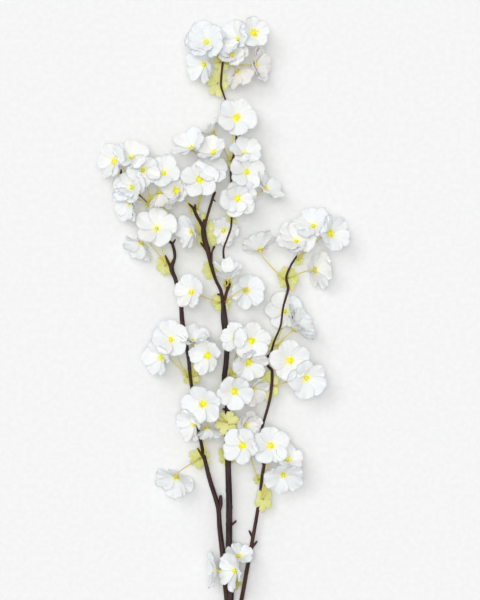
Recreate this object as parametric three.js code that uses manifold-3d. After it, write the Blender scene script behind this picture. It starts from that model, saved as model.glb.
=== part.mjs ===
// White peach blossom spray, cut and laid down on a flat surface. Millimetres.
// +Y runs up the spray from the cut end of its trunk, +X is to its right, +Z is up.
// One branching stem of wood carries lobed leaves. Each leaf carries its bunch of
// flower stalks, and each stalk ends in a five-pointed calyx with a flower on it.

import * as THREE from 'three';
import Module from 'manifold-3d';

const wasm = await Module();
wasm.setup();

// Clearances
const WOOD_GAP = 0.3; // between the wood and what is threaded on it
const SEAT_GAP = 0.3; // between a flower and its calyx
const PETAL_GAP = 0.35; // round a stalk that passes a petal
const CRUMB = 4; // cubic millimetres

// Flowers
const PETALS = 5;
const BLADE = 0.8; // thickness of a petal or a leaf
const HUB_RADIUS = 2.6;
const HUB_HEIGHT = 0.9;
const PETAL_HALF_WIDTH = 0.46; // share of the flower's radius, at most
const PETAL_PARTING = 0.5; // degrees from a petal's edge to the line between two petals
const SHOULDER_HALF_WIDTH = 0.25; // share of the flower's radius
const WIDEST_AT = 0.6; // share of the petal's length
const SHOULDER_AT = 0.95; // share of the petal's length
const PETAL_TWIST = 0.2; // rise over half width, so that each petal laps the next
const RIM_LIFT = 0.05; // share of the flower's radius
const CUP_CHANGE = 8; // degrees by which a petal flattens towards its tip
const STAMEN_HEIGHT = 5;

// Stalks and calyxes
const STALK_RADIUS = 1.15;
const STALK_SIDES = 3;
const STALK_STEP = 15;
const STALK_LOWEST = 3;
const STALK_ARRIVAL = 9;
const CALYX_LENGTH = 4.6;
const CALYX_TIP = 4.2;
const CALYX_VALLEY = 2.4;

// Leaves
const LOBES = 6;
const CLEFT = 0.62; // share of the leaf's reach
const LEAF_BEND = 1.8; // rise or fall of a leaf's sides about its stem

const GREEN = { color: 0xcdd26e, roughness: 0.75, metalness: 0 };
const WHITE = { color: 0xe9edf0, roughness: 0.7, metalness: 0 };
const BROWN = { color: 0x4b3232, roughness: 0.6, metalness: 0 };

// Wood: each branch is a row of stations [x, y, height, radius].
const TRUNK = [
  [10.8, 0, 4.5, 4.8], [10.8, 24, 4.6, 4.8], [10.8, 54, 5.4, 4.7], [12.5, 84, 7.4, 4.2],
  [10.8, 134, 11, 3.9], [10.8, 192, 14.5, 3.8], [9.6, 230, 17, 3.6], [9.6, 262, 18.5, 4.4],
  [10.8, 282, 19.5, 3.2], [9, 298, 20, 3.4], [8.4, 312, 20, 2], [4.8, 333, 20, 3],
  [7.2, 357, 20.5, 3.2], [8.2, 378, 21, 3.4], [5, 408, 21, 4.1], [3.6, 431, 21, 2.2],
];
const LEFT_ARM = [
  [4.2, 418, 21, 2.2], [1.2, 442, 21.5, 2], [-6, 458, 22, 1.8], [-11, 475, 22.5, 2.1],
  [-15, 493, 23, 2.9], [-19, 507, 23.5, 3.2], [-20.4, 520, 24, 2.8], [-24, 526, 24.5, 2],
  [-29, 535, 25, 1.9], [-32, 542, 25.5, 1.6], [-38.5, 548, 26, 1.2],
];
const RIGHT_ARM = [
  [3.4, 424, 21, 1.8], [7.4, 440, 21.5, 1.9], [9.4, 447, 22, 2.2], [7.2, 462, 24, 1.6],
  [4.8, 478, 27, 1.4], [4.2, 493, 30, 1.3], [8.4, 505, 31.5, 1.2], [13, 519, 31, 1.2],
  [14, 548, 29, 1.2], [13.2, 576, 27, 1.4], [12.8, 591, 26, 1.4], [16.8, 606, 25, 1.4],
  [21.8, 617, 24, 1.3], [22.8, 634, 23, 1.2], [10.8, 661, 22, 1.2], [4.8, 677, 22, 1.1],
  [1, 690, 22.5, 1.3], [3, 715, 24, 1.3], [5, 728, 25, 1],
];
const LEFT_LIMB = [
  [10.8, 50, 5.6, 3.4], [6.8, 84, 7.2, 3.1], [2.6, 130, 10.5, 3], [-0.6, 158, 12, 2.9],
  [-2.4, 182, 13, 2.8], [-12.5, 216, 15, 2.6], [-18.5, 240, 16.5, 2.2], [-26.5, 278, 18, 1.7],
  [-31, 307, 18.5, 1.8], [-35.4, 336, 19, 1.9], [-38, 362, 19.5, 2.2], [-45.4, 406, 20, 2.7],
  [-47.4, 430, 20, 2.4], [-54, 458, 20.5, 2.4], [-58.4, 470, 21, 2.7], [-54.4, 483, 21.5, 1.8],
  [-55.4, 493, 22, 1.8], [-59, 501, 22, 1.6], [-67, 505, 22, 1.3], [-71, 511, 22, 1.2],
  [-77, 530, 22, 1.2], [-86, 548, 22, 1.2], [-101, 562, 22, 1.1], [-114, 575, 23, 1.1],
  [-118.6, 583, 24, 1.1], [-118.8, 589, 25, 1],
];
const RIGHT_LIMB = [
  [11.4, 14, 4.6, 3], [17, 34, 5.2, 2.8], [24, 62, 6.4, 2.6], [32.4, 108, 9.6, 2.5],
  [41.4, 157, 12.4, 2.2], [47.4, 193, 14.4, 2.1], [51.6, 226, 15.6, 2.3], [53.6, 236, 16, 2.5],
  [50.2, 253, 16.6, 1.2], [47.2, 264, 17, 1.2], [51.6, 283, 18, 1.6], [60.6, 317, 19.5, 1.8],
  [62.3, 347, 20.5, 1.8], [57.3, 353, 20.7, 1.7], [55.4, 361, 21, 1.9], [60.6, 368, 22, 1.5],
  [64.8, 382, 23, 1.3], [72.4, 401, 25, 1.2], [75.8, 424, 26.5, 1.3], [81.6, 446, 26, 1.7],
  [79.4, 459, 25.6, 1.4], [85.2, 474, 25, 1.3], [93.6, 487, 25, 1],
];
const TWIGS = [
  [[-20, 516, 24, 2.2], [-19.4, 529, 25.5, 1.4]],
  [[-19.6, 518, 24, 2.2], [-15.6, 532, 25.4, 1.6], [-8, 557, 27, 1.7], [-5.6, 562, 27.4, 1.7]],
  [[-9, 553, 26.6, 1], [-5, 550, 26.4, 0.9]],
  [[-30, 537, 25, 1.5], [-30, 547, 26, 1.2]],
  [[-14, 489, 23, 2], [-23.6, 501, 24, 1.2]],
  [[-11, 472, 22.4, 1.8], [-9.6, 490, 23.5, 1.2], [-6.4, 497, 24, 1.5]],
  [[1.6, 438, 21.4, 1.6], [-3.6, 439, 22, 1.3]],
  [[8.6, 444, 21.6, 1.8], [12.4, 452, 22.4, 1.4]],
  [[9.4, 262, 18.4, 2.6], [5, 272, 19, 1.4]],
  [[9.6, 284, 19.6, 2], [16, 290, 20, 1.6]],
  [[8.4, 300, 20, 2], [2.6, 301, 20.4, 1.3]],
  [[13.2, 580, 26.8, 1.2], [19.6, 571, 27.4, 1.6], [21.4, 566, 27.4, 1]],
  [[19.6, 613, 24.4, 1.2], [19.4, 632, 25.4, 1.3]],
  [[-1.6, 178, 12.8, 2.6], [0.4, 186, 13.6, 2.5], [0.5, 197, 14.2, 2]],
  [[-18, 238, 16.4, 1.8], [-27.4, 254, 17.6, 1]],
  [[-58, 468, 21, 2.2], [-62.2, 477, 21.6, 1.6], [-66, 486, 22.2, 1.1]],
  [[-57.4, 499, 22, 1.5], [-53.4, 505, 22.4, 1]],
  [[10.8, 160, 12.6, 2.6], [16.8, 163.5, 13.2, 1.4], [19.6, 166.4, 13.4, 1.3]],
  [[39, 146, 11.8, 1.8], [34.6, 154.4, 12.6, 1.3]],
  [[35.6, 130, 10.8, 1.8], [44.6, 141.4, 12, 1.4]],
  [[52.8, 233, 15.8, 2], [50.6, 242.6, 16.6, 1.5]],
  [[56, 359, 21, 1.8], [52.4, 363.6, 21.2, 1.4]],
];
const STEM_SIDES = 6;
const ARM_SIDES = 5;
const TWIG_SIDES = 4;

// Leaves: the middle [x, y], whether the leaf lies over its stem (1) or under it (-1),
// its reach across the stem and along it, and the turn of its first lobe in degrees.
const LEAVES = {
  crown: [[2.4, 717], -1, 10, 13, 0],
  top: [[-3, 692], -1, 12.5, 16, 20],
  upper: [[17, 598], -1, 11, 12, 10],
  elbow: [[13.6, 530], -1, 7, 7, 0],
  tips: [[-30.8, 540], -1, 7, 8, 30],
  arm: [[-17.5, 512], -1, 12, 24, 0],
  left: [[-77, 545], -1, 12.5, 18, 10],
  left_tip: [[-117, 580], -1, 6, 7, 0],
  left_low: [[-66.5, 473], -1, 11, 13, 25],
  inner: [[-11, 467.4], -1, 11.5, 12, 20],
  right_arm: [[9, 450], -1, 6, 8, 0],
  fork: [[1, 429], -1, 12.5, 11, 30],
  star: [[11, 341], -1, 10, 10, 30],
  pale: [[6, 283], 1, 14, 16, 30],
  low: [[8.4, 243.6], -1, 11.5, 13.5, 0],
  limb_upper: [[-34.8, 340], -1, 10.5, 12, 0],
  limb_lower: [[-25, 241], -1, 13, 13, 30],
  right: [[81, 458.4], -1, 13.5, 15.5, 10],
  right_tip: [[94, 480], -1, 6, 8, 0],
  gold: [[66.6, 377], -1, 12, 9, 30],
  right_middle: [[58.2, 329], -1, 13.5, 19, 0],
  right_small: [[46, 215.4], -1, 6, 6.5, 30],
  right_low: [[52, 192.6], 1, 10.5, 15.5, 0],
  base: [[15, 88], -1, 10.5, 8, 30],
};

// Flowers: leaf, node, place of the seat [x, y, height], the way it faces as an
// azimuth and a tilt from straight up, radius, turn of the first petal, and cup.
const FLOWERS = [
  ['crown', 'top_left', [-15.6, 739, 38], 120, 25, 26, 28, 20],
  ['crown', 'top_left', [-18, 714, 35], 200, 50, 24.5, 0, 22],
  ['crown', 'top_right', [21.6, 743, 33], 150, 45, 24, 50, 24],
  ['crown', 'top_right', [39.6, 750, 38], 30, 20, 20, 26, 18],
  ['crown', 'top_right', [14, 724, 36], 90, 30, 21.5, 12, 24],
  ['crown', 'top_low', [40.8, 714, 30], 5, 62, 24.5, 60, 24],
  ['crown', 'top_back', [20.8, 705.8, 27.8], 305, 112, 23.5, 32, 24],
  ['upper', 'upper', [19.2, 649, 40], 60, 12, 25, 63, 16],
  ['upper', 'upper_left', [-9, 634, 27], 130, 84, 20, 10, 24],
  ['upper', 'upper_left', [-33.6, 613, 34], 125, 52, 26, 66, 24],
  ['upper', 'upper_cup', [-7, 607, 38], 120, 40, 23, 20, 34],
  ['upper', 'upper_right', [31.2, 584.5, 38], 20, 14, 23, 8, 18],
  ['upper', 'upper_right', [29, 606, 31], 70, 36, 22, 30, 24],
  ['tips', 'tips', [-11, 587, 35.4], 60, 24, 22, 18, 24],
  ['tips', 'tips', [-24, 575, 42], 85, 12, 24, 18, 18],
  ['tips', 'left_inner', [-51, 562, 33.5], 160, 34, 22, 40, 26],
  ['left', 'left', [-67, 583, 36], 100, 26, 22, 54, 22],
  ['elbow', 'upper_right', [20.6, 553.4, 38.4], 330, 12, 24.5, 35, 18],
  ['elbow', 'upper_right', [52.6, 564.4, 30.4], 40, 62, 24.5, 20, 30],
  ['left_tip', 'left', [-125, 597.6, 34.5], 170, 48, 24.5, 26, 22],
  ['left_tip', 'left', [-105.6, 601.6, 35.4], 90, 34, 24, 18, 22],
  ['left', 'left', [-92.4, 587, 38], 330, 14, 22, 48, 24],
  ['left', 'left', [-105, 566, 36], 150, 26, 23, 6, 20],
  ['left', 'left', [-107, 549.6, 32], 215, 50, 24.5, 26, 24],
  ['left', 'left_inner', [-72, 558.6, 41.6], 275, 86, 23.5, 18, 46],
  ['left_low', 'left_low', [-75.6, 517, 34.6], 100, 18, 26, 10, 20],
  ['left_low', 'left_foot', [-95, 500.4, 19.1], 235, 118, 22, 30, 26],
  ['arm', 'arm_left', [-32.5, 514, 32], 190, 52, 23, 20, 30],
  ['arm', 'arm_right', [4.4, 516, 12.4], 235, 12, 20, 4, 22],
  ['right_arm', 'inner', [9.6, 457, 38], 92, 66, 26, 22, 48],
  ['fork', 'fork_right', [31, 443.5, 36], 330, 150, 23, 14, 20],
  ['fork', 'fork_left', [-33, 441, 32], 160, 40, 23, 20, 22],
  ['right', 'right_left', [48, 492, 27], 105, 118, 24, 30, 24],
  ['right_tip', 'right', [91.4, 501.5, 36.6], 100, 30, 25.5, 52, 22],
  ['right_tip', 'right', [130.8, 511, 35], 8, 40, 24.5, 45, 22],
  ['right_tip', 'right', [112, 519.6, 35.8], 110, 34, 24, 26, 24],
  ['right', 'right_low', [114, 468, 21.2], 0, 130, 25, 37, 20],
  ['gold', 'limb_right_low', [78.4, 417.6, 9], 130, 16, 24.5, 30, 20],
  ['gold', 'limb_right_mid', [88.8, 397, 33], 40, 66, 28, 51, 30],
  ['gold', 'limb_right', [82.8, 360, 37], 0, 10, 25, 28, 18],
  ['right_middle', 'limb_right', [102.4, 339, 35.2], 330, 20, 25, 35, 18],
  ['right_low', 'base_right', [60, 257.6, 35], 60, 12, 24, 23, 18],
  ['right_low', 'base_right', [80.2, 240, 31.4], 60, 44, 20.5, 10, 26],
  ['right_low', 'base_right', [75.6, 224, 33], 285, 38, 26, 36, 20],
  ['star', 'middle', [20.4, 386.5, 33], 170, 30, 20, 20, 24],
  ['star', 'middle', [37, 383, 40], 0, 10, 24, 18, 18],
  ['star', 'middle', [33.6, 358.4, 34.6], 300, 36, 24.5, 30, 26],
  ['limb_upper', 'limb_left', [-14, 365.6, 34.6], 190, 30, 24, 30, 24],
  ['limb_upper', 'limb_left', [-32, 380.8, 30.2], 85, 56, 24, 20, 32],
  ['limb_upper', 'limb_left', [-58.8, 384, 36], 100, 18, 24, 22, 20],
  ['limb_upper', 'limb_left', [-69.6, 363.6, 28], 190, 46, 25, 26, 24],
  ['star', 'middle_low', [16.8, 323, 40], 300, 14, 23, 54, 20],
  ['pale', 'pale_left', [-19, 308, 36.4], 200, 22, 26, 30, 20],
  ['limb_lower', 'pale_left', [-30, 284.4, 28.4], 200, 54, 23.5, 20, 26],
  ['pale', 'pale_left', [-15.6, 278.4, 31.6], 274, 96, 20, 24, 26],
  ['pale', 'base_right', [29.6, 282.6, 29.4], 340, 40, 21, 20, 28],
  ['right_small', 'base_right', [27.6, 258, 35], 180, 22, 24, 62, 20],
  ['star', 'middle_back', [38, 326, 25], 320, 50, 21, 20, 26],
  ['limb_lower', 'limb_hanging', [-53, 219.6, 27], 245, 124, 26, 30, 18],
  ['base', 'base', [19, 108.4, 35], 180, 54, 24.5, 356, 20],
  ['base', 'base_side', [22, 123, 19], 75, 50, 18.5, 20, 22],
  ['base', 'base_left', [-4, 107, 25.5], 180, 80, 22.5, 24, 20],
];

const DEGREE = Math.PI / 180;
const vector = (list) => new THREE.Vector3(...list);

/** A steady pseudo-random share from 0 to 1 for a numbered thing. */
function scatter(first, second, salt) {
  const wave = Math.sin(first * 12.9898 + second * 78.233 + salt * 37.719) * 43758.5453;
  return wave - Math.floor(wave);
}

/** A closed skin under construction: its points, and triangles that face outward. */
class Skin {
  constructor() {
    this.points = [];
    this.faces = [];
  }

  add(point) {
    this.points.push(point);
    return this.points.length - 1;
  }

  ring(points) {
    return points.map((point) => this.add(point));
  }

  face(...corners) {
    this.faces.push(...corners);
  }

  /** Joins two closed rings, both anticlockwise about the way from first to second. */
  bridge(first, second) {
    let i = 0;
    let j = 0;
    while (i < first.length || j < second.length) {
      const here = first[i % first.length];
      const there = second[j % second.length];
      if (j === second.length || (i + 1) / first.length <= (j + 1) / second.length + 1e-9) {
        i += 1;
        this.face(here, first[i % first.length], there);
      } else {
        j += 1;
        this.face(here, second[j % second.length], there);
      }
    }
  }

  fan(ring, centre) {
    ring.forEach((corner, k) => this.face(corner, ring[(k + 1) % ring.length], centre));
  }

  cap(ring, facesBack) {
    for (let k = 1; k < ring.length - 1; k += 1) {
      if (facesBack) this.face(ring[0], ring[k + 1], ring[k]);
      else this.face(ring[0], ring[k], ring[k + 1]);
    }
  }

  solid(place = new THREE.Matrix4()) {
    const moved = this.points.map((point) => point.clone().applyMatrix4(place));
    const vertProperties = new Float32Array(moved.flatMap((point) => point.toArray()));
    const triVerts = new Uint32Array(this.faces);
    return new wasm.Manifold(new wasm.Mesh({ numProp: 3, vertProperties, triVerts }));
  }
}

/** Rings of points square to a path, carried along it without twisting. */
function ringsAlong(path, radii, sides, start = null) {
  const side = new THREE.Vector3();
  return path.map((centre, i) => {
    const before = path[Math.max(i - 1, 0)];
    const after = path[Math.min(i + 1, path.length - 1)];
    const along = i === 0 && start ? start : after.clone().sub(before).normalize();
    if (i === 0) {
      const upright = Math.abs(along.z) < 0.9 ? vector([0, 0, 1]) : vector([1, 0, 0]);
      side.crossVectors(along, upright).normalize();
    } else {
      side.addScaledVector(along, -side.dot(along)).normalize();
    }
    const up = new THREE.Vector3().crossVectors(along, side);
    return Array.from({ length: sides }, (_, k) => {
      const angle = ((k + 0.5) / sides) * 2 * Math.PI;
      const point = centre.clone().addScaledVector(side, radii[i] * Math.cos(angle));
      return point.addScaledVector(up, radii[i] * Math.sin(angle));
    });
  });
}

/** A branch through stations [x, y, height, radius], made thicker by a margin. */
function branch(stations, sides, margin) {
  const path = stations.map(([x, y, height]) => vector([x, y, height]));
  const radii = stations.map((station) => station[3] + margin);
  const skin = new Skin();
  const rings = ringsAlong(path, radii, sides).map((ring) => skin.ring(ring));
  skin.cap(rings[0], true);
  for (let i = 1; i < rings.length; i += 1) skin.bridge(rings[i - 1], rings[i]);
  skin.cap(rings.at(-1), false);
  return skin.solid();
}

/** The whole branching stem, made thicker by a margin. */
function wood(margin) {
  const limbs = [TRUNK, LEFT_LIMB, RIGHT_LIMB].map((row) => branch(row, STEM_SIDES, margin));
  const arms = [LEFT_ARM, RIGHT_ARM].map((row) => branch(row, ARM_SIDES, margin));
  const twigs = TWIGS.map((row) => branch(row, TWIG_SIDES, margin));
  return wasm.Manifold.union([...limbs, ...arms, ...twigs]);
}

/** The way a flower faces, as a unit vector. */
function facing(azimuth, tilt) {
  const across = Math.sin(tilt * DEGREE);
  const x = across * Math.cos(azimuth * DEGREE);
  const y = across * Math.sin(azimuth * DEGREE);
  return vector([x, y, Math.cos(tilt * DEGREE)]);
}

/** Placement of a flower whose own axis is +Z, without turning it about that axis. */
function flowerPlace([, , seat, azimuth, tilt]) {
  const turn = new THREE.Matrix4().makeRotationZ(azimuth * DEGREE);
  turn.multiply(new THREE.Matrix4().makeRotationY(tilt * DEGREE));
  turn.multiply(new THREE.Matrix4().makeRotationZ(-azimuth * DEGREE));
  return new THREE.Matrix4().makeTranslation(...seat).multiply(turn);
}

/** A flower: petals that rise from a small hub, with a crown of stamens on it. */
function flower(row, number) {
  const [, , , , , radius, turn, cup] = row;
  const skin = new Skin();
  const hubPoint = (angle, reach, height) => {
    return vector([reach * Math.cos(angle), reach * Math.sin(angle), height]);
  };
  const stepAngle = (k) => (turn + (k * 360) / PETALS) * DEGREE;
  const corners = Array.from({ length: PETALS }, (_, k) => stepAngle(k - 0.5));
  const top = skin.ring(corners.map((angle) => hubPoint(angle, HUB_RADIUS, HUB_HEIGHT)));
  const bottom = skin.ring(corners.map((angle) => hubPoint(angle, HUB_RADIUS, 0)));
  skin.fan(top, skin.add(vector([0, 0, HUB_HEIGHT + STAMEN_HEIGHT])));
  skin.cap(bottom, true);

  const petalAngle = (k) => {
    const petal = (k + PETALS) % PETALS;
    return stepAngle(k) + (scatter(number, petal, 1) - 0.5) * 10 * DEGREE;
  };
  for (let k = 0; k < PETALS; k += 1) {
    const angle = petalAngle(k);
    const length = (radius - HUB_RADIUS) * (0.94 + 0.12 * scatter(number, k, 2));
    const rise = (cup + (scatter(number, k, 3) - 0.5) * 10) * DEGREE;
    const flatten = CUP_CHANGE * DEGREE;
    const outward = vector([Math.cos(angle), Math.sin(angle), 0]);
    const sideways = vector([-Math.sin(angle), Math.cos(angle), 0]);
    const thickness = outward.clone().multiplyScalar(Math.sin(rise) * BLADE);
    thickness.z = -Math.cos(rise) * BLADE;
    const bladePoint = (share, halfWidth, lift) => {
      const first = Math.min(share, WIDEST_AT) * length;
      const second = Math.max(share - WIDEST_AT, 0) * length;
      const reach = first * Math.cos(rise + flatten) + second * Math.cos(rise - flatten);
      const climb = first * Math.sin(rise + flatten) + second * Math.sin(rise - flatten);
      const point = outward.clone().multiplyScalar(HUB_RADIUS * 0.8 + reach);
      point.addScaledVector(sideways, halfWidth);
      point.z = HUB_HEIGHT + climb + halfWidth * PETAL_TWIST + lift;
      return point;
    };
    const span = HUB_RADIUS * 0.8 + WIDEST_AT * length * Math.cos(rise + flatten);
    const [before, after] = [angle - petalAngle(k - 1), petalAngle(k + 1) - angle].map((apart) => {
      const room = span * Math.tan(apart / 2 - PETAL_PARTING * DEGREE);
      return Math.min(PETAL_HALF_WIDTH * radius, room);
    });
    const shoulder = (side) => Math.min(SHOULDER_HALF_WIDTH * radius, side * 0.62);
    const rim = [
      bladePoint(WIDEST_AT, -before, RIM_LIFT * radius),
      bladePoint(SHOULDER_AT, -shoulder(before), 0),
      bladePoint(SHOULDER_AT, shoulder(after), 0),
      bladePoint(WIDEST_AT, after, RIM_LIFT * radius),
    ];
    const middle = bladePoint(WIDEST_AT, 0, 0);
    const next = (k + 1) % PETALS;
    const upper = [top[k], ...skin.ring(rim), top[next]];
    const under = rim.map((point) => point.clone().add(thickness));
    const lower = [bottom[k], ...skin.ring(under), bottom[next]];
    const upperMiddle = skin.add(middle);
    const lowerMiddle = skin.add(middle.clone().add(thickness));
    for (let i = 0; i < upper.length; i += 1) {
      const after = (i + 1) % upper.length;
      skin.face(upper[i], upper[after], upperMiddle);
      skin.face(lower[after], lower[i], lowerMiddle);
      if (after !== 0) {
        skin.face(upper[i], lower[i], lower[after]);
        skin.face(upper[i], lower[after], upper[after]);
      }
    }
  }
  return skin.solid(flowerPlace(row));
}

/** A smooth stalk from its leaf to the calyx under a flower, with the calyx on it. */
function stalk(row, margin) {
  const [leaf, , seat, azimuth, tilt] = row;
  const { middle, across, up, drift, clear, reach } = leafSeat(leaf);
  const face = facing(azimuth, tilt);
  const rim = vector(seat).addScaledVector(face, -SEAT_GAP);
  const neck = rim.clone().addScaledVector(face, -CALYX_LENGTH);
  const foot = middle.clone().addScaledVector(across, -drift);
  const wanted = Math.sign(neck.clone().sub(foot).dot(across));
  const room = 0.8 * reach + wanted * drift;
  const lean = (room > clear + 1 ? wanted : -wanted) * clear;
  const root = foot.addScaledVector(across, lean);
  root.addScaledVector(up, leafBend(leaf, lean - drift));
  const span = neck.distanceTo(root);
  const off = up.multiplyScalar(neck.z > root.z - 3 ? 1 : -1);
  const climb = 2 + 0.9 * Math.abs(neck.z - root.z);
  const first = THREE.MathUtils.clamp(climb, span * 0.15, span * 0.6);
  const leave = root.clone().addScaledVector(off, first);
  const arrive = neck.clone().addScaledVector(face, -Math.min(span * 0.36, STALK_ARRIVAL));
  leave.z = Math.max(leave.z, STALK_LOWEST);
  arrive.z = Math.max(arrive.z, STALK_LOWEST);
  const curve = new THREE.CubicBezierCurve3(root, leave, arrive, neck);
  const steps = THREE.MathUtils.clamp(Math.round(span / STALK_STEP), 2, 4);
  const path = curve.getPoints(steps);
  const radii = path.map(() => STALK_RADIUS + margin);
  const skin = new Skin();
  const rings = ringsAlong(path, radii, STALK_SIDES, off).map((ring) => skin.ring(ring));
  skin.cap(rings[0], true);
  for (let i = 1; i < rings.length; i += 1) skin.bridge(rings[i - 1], rings[i]);
  const start = skin.points[rings.at(-1)[0]].clone().sub(path.at(-1));
  start.addScaledVector(face, -start.dot(face)).normalize();
  const sideways = new THREE.Vector3().crossVectors(face, start);
  const star = Array.from({ length: 2 * PETALS }, (_, k) => {
    const reach = k % 2 === 0 ? CALYX_TIP : CALYX_VALLEY;
    const angle = (k * Math.PI) / PETALS;
    const point = rim.clone().addScaledVector(start, (reach + margin) * Math.cos(angle));
    return point.addScaledVector(sideways, (reach + margin) * Math.sin(angle));
  });
  const starRing = skin.ring(star);
  skin.bridge(rings.at(-1), starRing);
  const valleys = starRing.filter((_, k) => k % 2 === 1);
  skin.cap(valleys, false);
  valleys.forEach((valley, k) => skin.face(valleys.at(k - 1), starRing[2 * k], valley));
  return skin.solid();
}

/** Height of a leaf's blade at a distance across from its stem. */
function leafBend(name, distance) {
  const [, side, reach] = LEAVES[name];
  return -side * LEAF_BEND * Math.min(1, (distance / reach) ** 2);
}

/** A leaf: a lobed blade against its stem, its sides bent round it. */
function leafSolid(name, number) {
  const [, , reach, length, turn] = LEAVES[name];
  const { middle, axis, across, up } = leafSeat(name);
  const outline = [];
  for (let k = 0; k < LOBES; k += 1) {
    const angle = turn + (k * 360) / LOBES;
    outline.push([angle, 0.92 + 0.16 * scatter(number, k, 7)]);
    outline.push([angle + 180 / LOBES, CLEFT]);
  }
  const at = (angle, share, lift) => {
    const sideways = reach * share * Math.sin(angle * DEGREE);
    const point = middle.clone().addScaledVector(across, sideways);
    point.addScaledVector(axis, length * share * Math.cos(angle * DEGREE));
    return point.addScaledVector(up, lift + leafBend(name, sideways));
  };
  const skin = new Skin();
  const over = skin.ring(outline.map(([angle, share]) => at(angle, share, BLADE / 2)));
  const under = skin.ring(outline.map(([angle, share]) => at(angle, share, -BLADE / 2)));
  skin.fan(over, skin.add(at(0, 0, BLADE / 2)));
  skin.fan([...under].reverse(), skin.add(at(0, 0, -BLADE / 2)));
  skin.bridge(under, over);
  return skin.solid();
}

/** Where a leaf lies on its stem, with the ways along, across and off the stem. */
function leafSeat(name) {
  const [[x, y], side, reach, length] = LEAVES[name];
  const { foot, axis, radius } = seatOnStem(x, y);
  const across = new THREE.Vector3(-axis.y, axis.x, 0).normalize();
  const up = new THREE.Vector3().crossVectors(axis, across);
  const drift = (x - foot.x) * across.x + (y - foot.y) * across.y;
  let swell = radius;
  for (const share of [-0.9, -0.6, -0.3, 0.3, 0.6, 0.9]) {
    const there = foot.clone().addScaledVector(axis, share * length);
    const beside = seatOnStem(there.x, there.y);
    const offset = side * beside.foot.sub(foot).dot(up) + beside.radius;
    swell = Math.max(swell, offset);
  }
  const middle = foot.addScaledVector(across, drift);
  middle.addScaledVector(up, side * (swell + WOOD_GAP + 0.05 + BLADE / 2));
  const clear = side > 0 ? 2 : radius + WOOD_GAP + STALK_RADIUS + 0.8;
  return { middle, axis, across, up, drift, clear, reach };
}

/** The point of the wood under or over a place, with its direction and radius. */
function seatOnStem(x, y) {
  const wanted = new THREE.Vector3(x, y, 0);
  let best = { distance: Infinity };
  for (const row of [TRUNK, LEFT_LIMB, RIGHT_LIMB, LEFT_ARM, RIGHT_ARM, ...TWIGS]) {
    for (let i = 1; i < row.length; i += 1) {
      const start = vector(row[i - 1].slice(0, 3));
      const step = vector(row[i].slice(0, 3)).sub(start);
      const flat = new THREE.Vector3(step.x, step.y, 0);
      const along = wanted.clone().sub(start).dot(flat) / flat.lengthSq();
      const share = THREE.MathUtils.clamp(along, 0, 1);
      const foot = start.addScaledVector(step, share);
      const distance = Math.hypot(foot.x - x, foot.y - y);
      if (distance < best.distance) {
        const axis = step.normalize();
        const radius = THREE.MathUtils.lerp(row[i - 1][3], row[i][3], share);
        best = { distance, foot, axis, radius };
      }
    }
  }
  return best;
}

/** A block that fills everything below the surface that the spray lies on. */
function floorBlock() {
  const depth = 20;
  const box = new THREE.BoxGeometry(600, 1200, depth);
  box.translate(0, 400, -depth / 2);
  const skin = new Skin();
  const position = box.getAttribute('position');
  const seen = new Map();
  const corner = (i) => {
    const point = new THREE.Vector3().fromBufferAttribute(position, i);
    const key = point.toArray().join();
    if (!seen.has(key)) seen.set(key, skin.add(point));
    return seen.get(key);
  };
  for (const i of box.index.array) skin.faces.push(corner(i));
  return skin.solid();
}

const group = new THREE.Group();
const parts = new THREE.Group();
group.add(parts);

/** Adds a solid to the model as a named mesh, less any crumb left by a cut. */
function addNode(name, solid, finish) {
  const bodies = solid.decompose().filter((body) => body.volume() > CRUMB);
  const { numProp, vertProperties, triVerts } = wasm.Manifold.union(bodies).getMesh();
  const geometry = new THREE.BufferGeometry();
  const positions = new Float32Array((vertProperties.length / numProp) * 3);
  for (let i = 0; i < positions.length / 3; i += 1) {
    for (let axis = 0; axis < 3; axis += 1) {
      positions[i * 3 + axis] = vertProperties[i * numProp + axis];
    }
  }
  geometry.setAttribute('position', new THREE.BufferAttribute(positions, 3));
  geometry.setIndex(new THREE.BufferAttribute(new Uint32Array(triVerts), 1));
  geometry.computeVertexNormals();
  const mesh = new THREE.Mesh(geometry, new THREE.MeshStandardMaterial(finish));
  mesh.name = name;
  parts.add(mesh);
}

const surface = floorBlock();
const clearOfWood = wood(WOOD_GAP);
const clearOfStalks = wasm.Manifold.union(FLOWERS.map((row) => stalk(row, PETAL_GAP - 0.1)));

addNode('wood', wood(0).subtract(surface), BROWN);

Object.keys(LEAVES).forEach((name, number) => {
  const stalks = FLOWERS.filter((row) => row[0] === name).map((row) => stalk(row, 0));
  const whole = wasm.Manifold.union([leafSolid(name, number), ...stalks]);
  addNode(`leaf_${name}`, whole.subtract(clearOfWood).subtract(surface), GREEN);
});

for (const node of new Set(FLOWERS.map((row) => row[1]))) {
  const solids = FLOWERS.map((row, number) => [row, number])
    .filter(([row]) => row[1] === node)
    .map(([row, number]) => flower(row, number));
  const whole = wasm.Manifold.union(solids).subtract(clearOfWood);
  addNode(`flowers_${node}`, whole.subtract(clearOfStalks).subtract(surface), WHITE);
}

// The frame's origin is under the middle of the spray's box, on the surface.
const extent = new THREE.Box3().setFromObject(parts);
const centre = extent.getCenter(new THREE.Vector3());
parts.position.set(-centre.x, -centre.y, -extent.min.z);

export default group;
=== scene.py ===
"""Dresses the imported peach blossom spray: bark, leaves, stalks, petals and stamens.

Places are written as on the drawing of the spray, in millimetres: +Y runs up the
spray from the cut end of its stem, +X is to its right and +Z is off the surface.
"""

import logging
import math
from collections.abc import Callable, Iterable, Sequence
from dataclasses import dataclass, field
from enum import Enum
from functools import cached_property

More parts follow.
